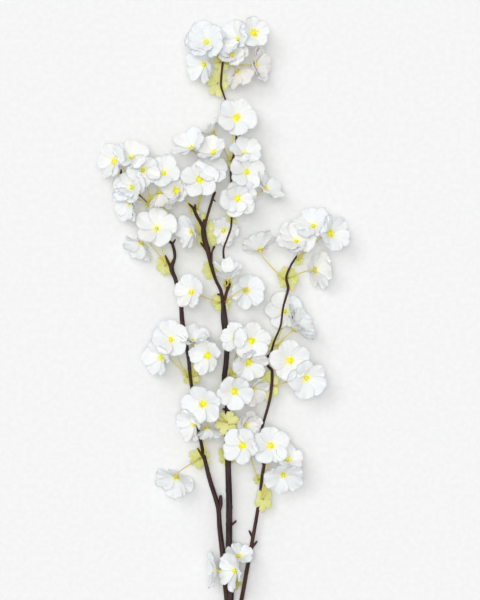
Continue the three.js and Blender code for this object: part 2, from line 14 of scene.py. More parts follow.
import bpy
import numpy as np
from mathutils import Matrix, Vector


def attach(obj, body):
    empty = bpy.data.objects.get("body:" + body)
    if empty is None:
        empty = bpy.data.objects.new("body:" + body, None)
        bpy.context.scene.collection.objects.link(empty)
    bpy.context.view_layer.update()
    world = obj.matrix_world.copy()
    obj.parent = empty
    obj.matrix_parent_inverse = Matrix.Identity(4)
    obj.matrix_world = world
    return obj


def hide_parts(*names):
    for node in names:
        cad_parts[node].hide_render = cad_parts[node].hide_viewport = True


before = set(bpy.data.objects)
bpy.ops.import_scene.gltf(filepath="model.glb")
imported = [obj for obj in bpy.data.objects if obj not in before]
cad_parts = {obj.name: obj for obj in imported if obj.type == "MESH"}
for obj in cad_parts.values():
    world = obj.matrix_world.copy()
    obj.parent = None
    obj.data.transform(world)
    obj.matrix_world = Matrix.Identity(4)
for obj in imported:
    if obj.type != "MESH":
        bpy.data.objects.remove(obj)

log = logging.getLogger("blossom_spray")

Rows = tuple[tuple[float, ...], ...]
Stations = Rows
LeafRow = tuple[tuple[float, float], int, float, float, float]
FlowerRow = tuple[str, str, tuple[float, float, float], float, float, float, float, float]
Relief = Callable[[np.ndarray, np.ndarray], np.ndarray]
Colour = tuple[float, float, float, float]
Wire = bpy.types.NodeSocket
Inputs = dict[str | int, object]

DRAWING_SHIFT = np.array([-3.626, -384.792, 0.0])  # from the drawing to the row frame
MILLIMETRE = 0.001
ANY_PHASE = 6.28  # radians that a seeded phase runs over

# Wood: each branch is a row of stations (x, y, height, radius).
TRUNK: Stations = (
    (10.8, 0, 4.5, 4.8), (10.8, 24, 4.6, 4.8), (10.8, 54, 5.4, 4.7), (12.5, 84, 7.4, 4.2),
    (10.8, 134, 11, 3.9), (10.8, 192, 14.5, 3.8), (9.6, 230, 17, 3.6), (9.6, 262, 18.5, 4.4),
    (10.8, 282, 19.5, 3.2), (9, 298, 20, 3.4), (8.4, 312, 20, 2), (4.8, 333, 20, 3),
    (7.2, 357, 20.5, 3.2), (8.2, 378, 21, 3.4), (5, 408, 21, 4.1), (3.6, 431, 21, 2.2),
)

LEFT_ARM: Stations = (
    (4.2, 418, 21, 2.2), (1.2, 442, 21.5, 2), (-6, 458, 22, 1.8), (-11, 475, 22.5, 2.1),
    (-15, 493, 23, 2.9), (-19, 507, 23.5, 3.2), (-20.4, 520, 24, 2.8), (-24, 526, 24.5, 2),
    (-29, 535, 25, 1.9), (-32, 542, 25.5, 1.6), (-38.5, 548, 26, 1.2),
)

RIGHT_ARM: Stations = (
    (3.4, 424, 21, 1.8), (7.4, 440, 21.5, 1.9), (9.4, 447, 22, 2.2), (7.2, 462, 24, 1.6),
    (4.8, 478, 27, 1.4), (4.2, 493, 30, 1.3), (8.4, 505, 31.5, 1.2), (13, 519, 31, 1.2),
    (14, 548, 29, 1.2), (13.2, 576, 27, 1.4), (12.8, 591, 26, 1.4), (16.8, 606, 25, 1.4),
    (21.8, 617, 24, 1.3), (22.8, 634, 23, 1.2), (10.8, 661, 22, 1.2), (4.8, 677, 22, 1.1),
    (1, 690, 22.5, 1.3), (3, 715, 24, 1.3), (5, 728, 25, 1),
)

LEFT_LIMB: Stations = (
    (10.8, 50, 5.6, 3.4), (6.8, 84, 7.2, 3.1), (2.6, 130, 10.5, 3), (-0.6, 158, 12, 2.9),
    (-2.4, 182, 13, 2.8), (-12.5, 216, 15, 2.6), (-18.5, 240, 16.5, 2.2), (-26.5, 278, 18, 1.7),
    (-31, 307, 18.5, 1.8), (-35.4, 336, 19, 1.9), (-38, 362, 19.5, 2.2), (-45.4, 406, 20, 2.7),
    (-47.4, 430, 20, 2.4), (-54, 458, 20.5, 2.4), (-58.4, 470, 21, 2.7), (-54.4, 483, 21.5, 1.8),
    (-55.4, 493, 22, 1.8), (-59, 501, 22, 1.6), (-67, 505, 22, 1.3), (-71, 511, 22, 1.2),
    (-77, 530, 22, 1.2), (-86, 548, 22, 1.2), (-101, 562, 22, 1.1), (-114, 575, 23, 1.1),
    (-118.6, 583, 24, 1.1), (-118.8, 589, 25, 1),
)

RIGHT_LIMB: Stations = (
    (11.4, 14, 4.6, 3), (17, 34, 5.2, 2.8), (24, 62, 6.4, 2.6), (32.4, 108, 9.6, 2.5),
    (41.4, 157, 12.4, 2.2), (47.4, 193, 14.4, 2.1), (51.6, 226, 15.6, 2.3), (53.6, 236, 16, 2.5),
    (50.2, 253, 16.6, 1.2), (47.2, 264, 17, 1.2), (51.6, 283, 18, 1.6), (60.6, 317, 19.5, 1.8),
    (62.3, 347, 20.5, 1.8), (57.3, 353, 20.7, 1.7), (55.4, 361, 21, 1.9), (60.6, 368, 22, 1.5),
    (64.8, 382, 23, 1.3), (72.4, 401, 25, 1.2), (75.8, 424, 26.5, 1.3), (81.6, 446, 26, 1.7),
    (79.4, 459, 25.6, 1.4), (85.2, 474, 25, 1.3), (93.6, 487, 25, 1),
)

TWIGS: tuple[Stations, ...] = (
    ((-20, 516, 24, 2.2), (-19.4, 529, 25.5, 1.4)),
    ((-19.6, 518, 24, 2.2), (-15.6, 532, 25.4, 1.6), (-8, 557, 27, 1.7), (-5.6, 562, 27.4, 1.7)),
    ((-9, 553, 26.6, 1), (-5, 550, 26.4, 0.9)),
    ((-30, 537, 25, 1.5), (-30, 547, 26, 1.2)),
    ((-14, 489, 23, 2), (-23.6, 501, 24, 1.2)),
    ((-11, 472, 22.4, 1.8), (-9.6, 490, 23.5, 1.2), (-6.4, 497, 24, 1.5)),
    ((1.6, 438, 21.4, 1.6), (-3.6, 439, 22, 1.3)),
    ((8.6, 444, 21.6, 1.8), (12.4, 452, 22.4, 1.4)),
    ((9.4, 262, 18.4, 2.6), (5, 272, 19, 1.4)),
    ((9.6, 284, 19.6, 2), (16, 290, 20, 1.6)),
    ((8.4, 300, 20, 2), (2.6, 301, 20.4, 1.3)),
    ((13.2, 580, 26.8, 1.2), (19.6, 571, 27.4, 1.6), (21.4, 566, 27.4, 1)),
    ((19.6, 613, 24.4, 1.2), (19.4, 632, 25.4, 1.3)),
    ((-1.6, 178, 12.8, 2.6), (0.4, 186, 13.6, 2.5), (0.5, 197, 14.2, 2)),
    ((-18, 238, 16.4, 1.8), (-27.4, 254, 17.6, 1)),
    ((-58, 468, 21, 2.2), (-62.2, 477, 21.6, 1.6), (-66, 486, 22.2, 1.1)),
    ((-57.4, 499, 22, 1.5), (-53.4, 505, 22.4, 1)),
    ((10.8, 160, 12.6, 2.6), (16.8, 163.5, 13.2, 1.4), (19.6, 166.4, 13.4, 1.3)),
    ((39, 146, 11.8, 1.8), (34.6, 154.4, 12.6, 1.3)),
    ((35.6, 130, 10.8, 1.8), (44.6, 141.4, 12, 1.4)),
    ((52.8, 233, 15.8, 2), (50.6, 242.6, 16.6, 1.5)),
    ((56, 359, 21, 1.8), (52.4, 363.6, 21.2, 1.4)),
)

BRANCHES: tuple[Stations, ...] = (TRUNK, LEFT_LIMB, RIGHT_LIMB, LEFT_ARM, RIGHT_ARM, *TWIGS)

# Leaves: the middle (x, y), whether the leaf lies over its stem (1) or under it (-1),
# its reach across the stem and along it, and the turn of its first lobe in degrees.
LEAVES: dict[str, LeafRow] = {
    "crown": ((2.4, 717), -1, 10, 13, 0),
    "top": ((-3, 692), -1, 12.5, 16, 20),
    "upper": ((17, 598), -1, 11, 12, 10),
    "elbow": ((13.6, 530), -1, 7, 7, 0),
    "tips": ((-30.8, 540), -1, 7, 8, 30),
    "arm": ((-17.5, 512), -1, 12, 24, 0),
    "left": ((-77, 545), -1, 12.5, 18, 10),
    "left_tip": ((-117, 580), -1, 6, 7, 0),
    "left_low": ((-66.5, 473), -1, 11, 13, 25),
    "inner": ((-11, 467.4), -1, 11.5, 12, 20),
    "right_arm": ((9, 450), -1, 6, 8, 0),
    "fork": ((1, 429), -1, 12.5, 11, 30),
    "star": ((11, 341), -1, 10, 10, 30),
    "pale": ((6, 283), 1, 14, 16, 30),
    "low": ((8.4, 243.6), -1, 11.5, 13.5, 0),
    "limb_upper": ((-34.8, 340), -1, 10.5, 12, 0),
    "limb_lower": ((-25, 241), -1, 13, 13, 30),
    "right": ((81, 458.4), -1, 13.5, 15.5, 10),
    "right_tip": ((94, 480), -1, 6, 8, 0),
    "gold": ((66.6, 377), -1, 12, 9, 30),
    "right_middle": ((58.2, 329), -1, 13.5, 19, 0),
    "right_small": ((46, 215.4), -1, 6, 6.5, 30),
    "right_low": ((52, 192.6), 1, 10.5, 15.5, 0),
    "base": ((15, 88), -1, 10.5, 8, 30),
}

# Leaves that are more golden than the rest, from 0 to 1, and how golden the rest are. Their extra gold is
# partly the leaves' own and partly painted light, lifting leaves that the flowers over them shade.
PLAIN_GOLD = 0.1
GOLD_AND_PAINTED_LIGHT: dict[str, float] = {
    "crown": 0.95, "top": 0.6, "star": 0.6, "pale": 1.0, "gold": 1.0, "right_middle": 0.5, "fork": 0.3,
}

# Flowers whose white is bluer than the rest, and flowers whose petals are painted pink as shade, by their row
# below.
# A petal's shade runs from cool to warm, and above the pink threshold below to a pink that is painted shade.
PINK_SHADE_FROM = 0.9
PINK_SHADE_FLOWERS = frozenset({5, 6, 24, 55, 57})
CHILLED = frozenset({0, 1, 26, 50, 58, 59, 60, 61})

# Flowers whose stamens stand full and open. The others hold fewer and smaller ones.
FULL = frozenset({3, 7, 14, 15, 17, 19, 34, 39, 41, 45, 46, 47, 51, 52, 56, 61})

# Flowers: leaf, node, place of the seat (x, y, height), the way it faces as an
# azimuth and a tilt from straight up, radius, turn of the first petal, and cup.
FLOWERS: tuple[FlowerRow, ...] = (
    ("crown", "top_left", (-15.6, 739, 38), 120, 25, 26, 28, 20),
    ("crown", "top_left", (-18, 714, 35), 200, 50, 24.5, 0, 22),
    ("crown", "top_right", (21.6, 743, 33), 150, 45, 24, 50, 24),
    ("crown", "top_right", (39.6, 750, 38), 30, 20, 20, 26, 18),
    ("crown", "top_right", (14, 724, 36), 90, 30, 21.5, 12, 24),
    ("crown", "top_low", (40.8, 714, 30), 5, 62, 24.5, 60, 24),
    ("crown", "top_back", (20.8, 705.8, 27.8), 305, 112, 23.5, 32, 24),
    ("upper", "upper", (19.2, 649, 40), 60, 12, 25, 63, 16),
    ("upper", "upper_left", (-9, 634, 27), 130, 84, 20, 10, 24),
    ("upper", "upper_left", (-33.6, 613, 34), 125, 52, 26, 66, 24),
    ("upper", "upper_cup", (-7, 607, 38), 120, 40, 23, 20, 34),
    ("upper", "upper_right", (31.2, 584.5, 38), 20, 14, 23, 8, 18),
    ("upper", "upper_right", (29, 606, 31), 70, 36, 22, 30, 24),
    ("tips", "tips", (-11, 587, 35.4), 60, 24, 22, 18, 24),
    ("tips", "tips", (-24, 575, 42), 85, 12, 24, 18, 18),
    ("tips", "left_inner", (-51, 562, 33.5), 160, 34, 22, 40, 26),
    ("left", "left", (-67, 583, 36), 100, 26, 22, 54, 22),
    ("elbow", "upper_right", (20.6, 553.4, 38.4), 330, 12, 24.5, 35, 18),
    ("elbow", "upper_right", (52.6, 564.4, 30.4), 40, 62, 24.5, 20, 30),
    ("left_tip", "left", (-125, 597.6, 34.5), 170, 48, 24.5, 26, 22),
    ("left_tip", "left", (-105.6, 601.6, 35.4), 90, 34, 24, 18, 22),
    ("left", "left", (-92.4, 587, 38), 330, 14, 22, 48, 24),
    ("left", "left", (-105, 566, 36), 150, 26, 23, 6, 20),
    ("left", "left", (-107, 549.6, 32), 215, 50, 24.5, 26, 24),
    ("left", "left_inner", (-72, 558.6, 41.6), 275, 86, 23.5, 18, 46),
    ("left_low", "left_low", (-75.6, 517, 34.6), 100, 18, 26, 10, 20),
    ("left_low", "left_foot", (-95, 500.4, 19.1), 235, 118, 22, 30, 26),
    ("arm", "arm_left", (-32.5, 514, 32), 190, 52, 23, 20, 30),
    ("arm", "arm_right", (4.4, 516, 12.4), 235, 12, 20, 4, 22),
    ("right_arm", "inner", (9.6, 457, 38), 92, 66, 26, 22, 48),
    ("fork", "fork_right", (31, 443.5, 36), 330, 150, 23, 14, 20),
    ("fork", "fork_left", (-33, 441, 32), 160, 40, 23, 20, 22),
    ("right", "right_left", (48, 492, 27), 105, 118, 24, 30, 24),
    ("right_tip", "right", (91.4, 501.5, 36.6), 100, 30, 25.5, 52, 22),
    ("right_tip", "right", (130.8, 511, 35), 8, 40, 24.5, 45, 22),
    ("right_tip", "right", (112, 519.6, 35.8), 110, 34, 24, 26, 24),
    ("right", "right_low", (114, 468, 21.2), 0, 130, 25, 37, 20),
    ("gold", "limb_right_low", (78.4, 417.6, 9), 130, 16, 24.5, 30, 20),
    ("gold", "limb_right_mid", (88.8, 397, 33), 40, 66, 28, 51, 30),
    ("gold", "limb_right", (82.8, 360, 37), 0, 10, 25, 28, 18),
    ("right_middle", "limb_right", (102.4, 339, 35.2), 330, 20, 25, 35, 18),
    ("right_low", "base_right", (60, 257.6, 35), 60, 12, 24, 23, 18),
    ("right_low", "base_right", (80.2, 240, 31.4), 60, 44, 20.5, 10, 26),
    ("right_low", "base_right", (75.6, 224, 33), 285, 38, 26, 36, 20),
    ("star", "middle", (20.4, 386.5, 33), 170, 30, 20, 20, 24),
    ("star", "middle", (37, 383, 40), 0, 10, 24, 18, 18),
    ("star", "middle", (33.6, 358.4, 34.6), 300, 36, 24.5, 30, 26),
    ("limb_upper", "limb_left", (-14, 365.6, 34.6), 190, 30, 24, 30, 24),
    ("limb_upper", "limb_left", (-32, 380.8, 30.2), 85, 56, 24, 20, 32),
    ("limb_upper", "limb_left", (-58.8, 384, 36), 100, 18, 24, 22, 20),
    ("limb_upper", "limb_left", (-69.6, 363.6, 28), 190, 46, 25, 26, 24),
    ("star", "middle_low", (16.8, 323, 40), 300, 14, 23, 54, 20),
    ("pale", "pale_left", (-19, 308, 36.4), 200, 22, 26, 30, 20),
    ("limb_lower", "pale_left", (-30, 284.4, 28.4), 200, 54, 23.5, 20, 26),
    ("pale", "pale_left", (-15.6, 278.4, 31.6), 274, 96, 20, 24, 26),
    ("pale", "base_right", (29.6, 282.6, 29.4), 340, 40, 21, 20, 28),
    ("right_small", "base_right", (27.6, 258, 35), 180, 22, 24, 62, 20),
    ("star", "middle_back", (38, 326, 25), 320, 50, 21, 20, 26),
    ("limb_lower", "limb_hanging", (-53, 219.6, 27), 245, 124, 26, 30, 18),
    ("base", "base", (19, 108.4, 35), 180, 54, 24.5, 356, 20),
    ("base", "base_side", (22, 123, 19), 75, 50, 18.5, 20, 22),
    ("base", "base_left", (-4, 107, 25.5), 180, 80, 22.5, 24, 20),
)


class Slot(Enum):
    """The record's material slots."""

    BARK = "bark"
    LEAF = "leaf"
    PETAL = "petal"


class Side(Enum):
    """How a leaf lies against its stem."""

    OVER = 1
    UNDER = -1


class Socket(Enum):
    """Kinds of socket on a shader node group."""

    VALUE = "NodeSocketFloat"
    VECTOR = "NodeSocketVector"


def scatter(first: float, second: float, salt: float) -> float:
    """Gives a steady share from 0 to 1 for a numbered thing.

    Args:
        first: Number of the thing.
        second: Number of its part.
        salt: Number of the quality that varies.

    Returns:
        The same share for the same numbers, with no pattern between them.
    """
    wave = math.sin(first * 12.9898 + second * 78.233 + salt * 37.719) * 43758.5453
    return wave - math.floor(wave)


def change(first: float, second: float, salt: float, whole: float) -> float:
    """Gives a steady change of up to half the whole either way, seeded as scatter is."""
    return (scatter(first, second, salt) - 0.5) * whole


def phase(first: float, second: float, salt: float) -> float:
    """Gives a steady phase of a wave in radians, seeded as scatter is."""
    return ANY_PHASE * scatter(first, second, salt)


def unit(vector: np.ndarray) -> np.ndarray:
    """Scales a vector, or each row of an array of them, to length one."""
    return vector / np.maximum(np.linalg.norm(vector, axis=-1, keepdims=True), 1e-12)


def smooth(low: float, high: float, value: np.ndarray | float) -> np.ndarray | float:
    """Rises smoothly from 0 at low to 1 at high."""
    share = np.clip((value - low) / (high - low), 0, 1)
    return share * share * (3 - 2 * share)


def paired(first: np.ndarray, second: np.ndarray) -> np.ndarray:
    """Pairs the values of two arrays, as the surface coordinates of a grid."""
    return np.stack(np.broadcast_arrays(first, second), axis=-1)


def tilting(azimuth: float, tilt: float) -> np.ndarray:
    """Gives the matrix that tilts +Z to the way a flower faces, without turning it.

    Args:
        azimuth: Way it leans towards, in degrees from +X.
        tilt: How far it leans from upright, in degrees.

    Returns:
        A rotation matrix, three by three, whose last column is the way it faces.
    """
    turn, lean = math.radians(azimuth), math.radians(tilt)
    spin = np.array([[math.cos(turn), -math.sin(turn), 0], [math.sin(turn), math.cos(turn), 0], [0, 0, 1]])
    nod = np.array([[math.cos(lean), 0, math.sin(lean)], [0, 1, 0], [-math.sin(lean), 0, math.cos(lean)]])
    return spin @ nod @ spin.T


def shown(name: str, data: bpy.types.ID) -> bpy.types.Object:
    """Makes an object and links it to the scene.

    Args:
        name: Name of the object.
        data: Its mesh, lamp or camera.

    Returns:
        The new object.
    """
    made = bpy.data.objects.new(name, data)
    bpy.context.scene.collection.objects.link(made)
    return made


@dataclass
class Sketch:
    """A mesh under construction, in drawing millimetres.

    Every point carries two coordinates of the surface it belongs to, for the
    veins and the ridges, and a shade of its own.
    """

    points: list[np.ndarray] = field(default_factory=list)
    flow: list[np.ndarray] = field(default_factory=list)
    shade: list[np.ndarray] = field(default_factory=list)
    faces: list[tuple[int, ...]] = field(default_factory=list)
    finishes: list[int] = field(default_factory=list)
    count: int = 0

    def add(self, points: np.ndarray, flow: np.ndarray, shade: float | np.ndarray) -> np.ndarray:
        """Adds an array of points and returns the array of their numbers.

        Args:
            points: Places, in an array whose last axis has three.
            flow: Surface coordinates, in an array whose last axis has two.
            shade: Shade of all the points, or of each.

        Returns:
            The numbers of the points, in the array's own shape.
        """
        shape = points.shape[:-1]
        total = int(np.prod(shape))
        self.points.append(points.reshape(-1, 3))
        self.flow.append(np.broadcast_to(flow, shape + (2,)).reshape(-1, 2))
        self.shade.append(np.broadcast_to(shade, shape).reshape(-1))
        numbers = np.arange(self.count, self.count + total).reshape(shape)
        self.count += total
        return numbers

    def quads(self, grid: np.ndarray, finish: int, around: bool = False, back: bool = False) -> None:
        """Skins a grid of point numbers.

        Args:
            grid: Numbers in rows and columns.
            finish: Number of the finish.
            around: Whether the last column joins the first.
            back: Whether the faces look the other way.
        """
        right = np.roll(grid, -1, axis=1) if around else grid[:, 1:]
        left = grid if around else grid[:, :-1]
        corners = np.stack([left[:-1], right[:-1], right[1:], left[1:]], axis=-1).reshape(-1, 4)
        if back:
            corners = corners[:, ::-1]
        self.faces.extend(map(tuple, corners.tolist()))
        self.finishes.extend([finish] * len(corners))

    def fan(self, ring: np.ndarray, centre: int, finish: int, back: bool = False) -> None:
        """Closes a ring of point numbers with triangles to a centre.

        Args:
            ring: Numbers round the ring.
            centre: Number of the centre.
            finish: Number of the finish.
            back: Whether the faces look the other way.
        """
        for corner, after in zip(ring, np.roll(ring, -1)):
            self.faces.append((after, corner, centre) if back else (corner, after, centre))
            self.finishes.append(finish)

    def sheet(
        self, middle: np.ndarray, thickness: float, flow: np.ndarray, shade: float | np.ndarray, finish: int
    ) -> None:
        """Adds a thin closed sheet about a grid of points.

        Args:
            middle: Grid of places through the middle of the sheet.
            thickness: Thickness in millimetres.
            flow: Surface coordinates of the grid.
            shade: Shade of all the points, or of each.
            finish: Number of the finish.
        """
        normal = unit(np.cross(np.gradient(middle, axis=1), np.gradient(middle, axis=0)))
        over = self.add(middle + normal * thickness / 2, flow, shade)
        under = self.add(middle - normal * thickness / 2, flow, shade)
        self.quads(over, finish, back=True)
        self.quads(under, finish)
        rims = [(over[0], under[0]), (over[:, -1], under[:, -1])]
        rims += [(over[-1, ::-1], under[-1, ::-1]), (over[::-1, 0], under[::-1, 0])]
        for upper, lower in rims:
            self.quads(np.stack([upper, lower]), finish, back=True)

    def tube(
        self,
        path: np.ndarray,
        radii: np.ndarray,
        sides: int,
        shade: float,
        finish: int,
        start: np.ndarray | None = None,
        relief: Relief | None = None,
    ) -> np.ndarray:
        """Adds a closed tube along a path.

        Args:
            path: Places along its centreline.
            radii: Radius at each place.
            sides: Number of sides.
            shade: Shade of the whole tube.
            finish: Number of the finish.
            start: Way the first ring faces, where it isn't the path's own.
            relief: Gives a share to add to the radius from angle and length.

        Returns:
            The way that angle zero lies on the last ring.
        """
        along = unit(np.gradient(path, axis=0))
        if start is not None:
            along[0] = start
        length = np.concatenate([[0], np.cumsum(np.linalg.norm(np.diff(path, axis=0), axis=1))])
        upright = np.array([0.0, 0, 1]) if abs(along[0][2]) < 0.9 else np.array([1.0, 0, 0])
        side = unit(np.cross(along[0], upright))
        angles = (np.arange(sides) + 0.5) / sides * 2 * math.pi
        rings = np.empty((len(path), sides, 3))
        for i, way in enumerate(along):
            side = unit(side - way * (side @ way))
            spoke = np.outer(np.cos(angles), side) + np.outer(np.sin(angles), np.cross(way, side))
            swell = 1 + relief(angles, np.full(sides, length[i])) if relief else np.ones(sides)
            rings[i] = path[i] + spoke * (radii[i] * swell)[:, None]
        flow = np.stack(np.meshgrid(angles / (2 * math.pi), length), axis=-1)
        grid = self.add(rings, flow, shade)
        self.quads(grid, finish, around=True)
        self.fan(grid[0], int(self.add(path[0], flow[0, 0], shade)), finish, back=True)
        self.fan(grid[-1], int(self.add(path[-1], flow[-1, 0], shade)), finish)
        return side

    def build(self, name: str, materials: Iterable[bpy.types.Material]) -> bpy.types.Object:
        """Makes the Blender object, in metres in the row frame.

        Args:
            name: Name of the piece.
            materials: Its materials, in the order of their numbers.

        Returns:
            The new object, linked to the scene.
        """
        places = (np.concatenate(self.points) + DRAWING_SHIFT) * MILLIMETRE
        mesh = bpy.data.meshes.new(name)
        mesh.from_pydata(places.tolist(), [], self.faces)
        for material in materials:
            mesh.materials.append(material)
        mesh.polygons.foreach_set("material_index", self.finishes)
        mesh.polygons.foreach_set("use_smooth", [True] * len(self.faces))
        corners = np.empty(len(mesh.loops), int)
        mesh.loops.foreach_get("vertex_index", corners)
        flow = mesh.uv_layers.new(name="flow")
        flow.data.foreach_set("uv", np.concatenate(self.flow)[corners].ravel())
        shade = mesh.attributes.new("shade", "FLOAT", "POINT")
        shade.data.foreach_set("value", np.concatenate(self.shade).astype(np.float32))
        mesh.update()
        return shown(name, mesh)


@dataclass
class NodeBoard:
    """A node tree being wired, with short ways to add what the finishes use."""

    tree: bpy.types.NodeTree

    def feed(self, socket: Wire, value: object) -> None:
        """Fills an input.

        Args:
            socket: The input.
            value: Another node's socket to link to it, or a plain value.
        """
        if isinstance(value, Wire):
            self.tree.links.new(value, socket)
        else:
            socket.default_value = value

    def node(self, kind: str, inputs: Inputs | None = None, **settings: object) -> bpy.types.Node:
        """Adds a node.

        Args:
            kind: Blender's name of the node type, without its ShaderNode prefix.
            inputs: Values for its inputs, or sockets to link to them.
            settings: Other settings of the node.

        Returns:
            The new node.
        """
        made = self.tree.nodes.new(f"ShaderNode{kind}")
        for key, value in settings.items():
            setattr(made, key, value)
        for key, value in (inputs or {}).items():
            self.feed(made.inputs[key], value)
        return made

    def maths(self, operation: str, *values: object) -> Wire:
        """Adds a Math node and returns its value."""
        return self.node("Math", dict(enumerate(values)), operation=operation).outputs[0]

    def scaled(self, value: Wire, share: float | Wire) -> Wire:
        """Multiplies a value by a share."""
        return self.maths("MULTIPLY", value, share)

    def noise(self, vector: Wire, scale: float | Wire, detail: float) -> Wire:
        """Adds a Noise texture and returns its value."""
        return self.node("TexNoise", {"Vector": vector, "Scale": scale, "Detail": detail}).outputs["Fac"]

    def ramp(self, value: Wire, low: float, high: float) -> Wire:
        """Maps a value smoothly to 0 at low and 1 at high."""
        inputs = {"Value": value, "From Min": low, "From Max": high}
        return self.node("MapRange", inputs, interpolation_type="SMOOTHSTEP").outputs[0]

    def blend(self, share: Wire, first: Colour | Wire, second: Colour | Wire) -> Wire:
        """Mixes two colours and returns the result."""
        inputs = {0: share, 6: first, 7: second}  # the Mix node's sockets for colours
        return self.node("Mix", inputs, data_type="RGBA", clamp_factor=True).outputs[2]


def open_group(
    name: str, inputs: dict[str, float | None], outputs: Sequence[str]
) -> tuple[NodeBoard, list[Wire], list[Wire]]:
    """Starts a node group.

    Args:
        name: Name of the group.
        inputs: First value of each input, or None where it is a vector.
        outputs: Names of its outputs, which are plain values.

    Returns:
        A board to wire it on, and the sockets of its inputs and of its outputs.
    """
    tree = bpy.data.node_groups.new(name, "ShaderNodeTree")
    for label, value in inputs.items():
        kind = Socket.VECTOR if value is None else Socket.VALUE
        socket = tree.interface.new_socket(label, in_out="INPUT", socket_type=kind.value)
        if value is not None:
            socket.default_value = value
    for label in outputs:
        tree.interface.new_socket(label, in_out="OUTPUT", socket_type=Socket.VALUE.value)
    start, end = tree.nodes.new("NodeGroupInput"), tree.nodes.new("NodeGroupOutput")
    starts = [start.outputs[label] for label in inputs]
    ends = [end.inputs[label] for label in outputs]
    return NodeBoard(tree), starts, ends


class Effects:
    """The effects that several finishes share, each a node group built once."""

    @cached_property
    def weave(self) -> bpy.types.NodeTree:
        """Pressed cloth: a fine crossed weave and soft creases.

        Returns:
            A group that gives a height and a mask of the thicker threads.
        """
        inputs = {"Place": None, "Threads": 900.0, "Creases": 90.0}
        board, (place, threads, creases), (height, thick) = open_group("weave", inputs, ("Height", "Thick"))
        waves = {"Vector": place, "Scale": threads, "Distortion": 1.2}
        warp, weft = (board.node("TexWave", waves, bands_direction=way).outputs["Fac"] for way in "XY")
        crease = board.noise(place, creases, 4.0)
        board.feed(height, board.maths("ADD", board.scaled(board.maths("MAXIMUM", warp, weft), 0.25), crease))
        board.feed(thick, board.ramp(crease, 0.35, 0.7))
        return board.tree

    @cached_property
    def veins(self) -> bpy.types.NodeTree:
        """Veins that run along a petal or a lobe and sway towards its edge.

        Returns:
            A group that gives a mask of the veins from across and along.
        """
        inputs = {"Across": 0.0, "Along": 0.0, "Count": 5.0, "Sharpness": 6.0}
        board, (across, along, count, sharpness), (mask,) = open_group("veins", inputs, ("Mask",))
        point = board.node("CombineXYZ", {"X": across, "Y": along}).outputs[0]
        sway = board.scaled(board.noise(point, 5.0, 1.0), 0.35)
        turn = board.scaled(board.maths("ADD", across, sway), board.scaled(count, math.pi))
        line = board.maths("POWER", board.maths("ABSOLUTE", board.maths("COSINE", turn)), sharpness)
        board.feed(mask, board.scaled(line, board.ramp(along, 0.0, 0.25)))
        return board.tree

    @cached_property
    def ridges(self) -> bpy.types.NodeTree:
        """Lengthwise ridges and pores of moulded bark and stalks.

        Returns:
            A group that gives a height and a mask of the crests.
        """
        inputs = {"Around": 0.0, "Along": 0.0, "Ridges": 9.0, "Stretch": 0.05}
        board, starts, (height, crest) = open_group("ridges", inputs, ("Height", "Crest"))
        around, along, ridges, stretch = starts
        turn = board.scaled(around, 2 * math.pi)
        across, beside = (board.scaled(board.maths(wave, turn), ridges) for wave in ("COSINE", "SINE"))
        length = board.scaled(along, stretch)
        point = board.node("CombineXYZ", {"X": across, "Y": beside, "Z": length}).outputs[0]
        pores = board.scaled(board.noise(point, 2.1, 2.0), 0.35)
        relief = board.maths("ADD", board.noise(point, 0.55, 3.0), pores)
        board.feed(height, relief)
        board.feed(crest, board.ramp(relief, 0.62, 0.86))
        return board.tree


EFFECTS = Effects()


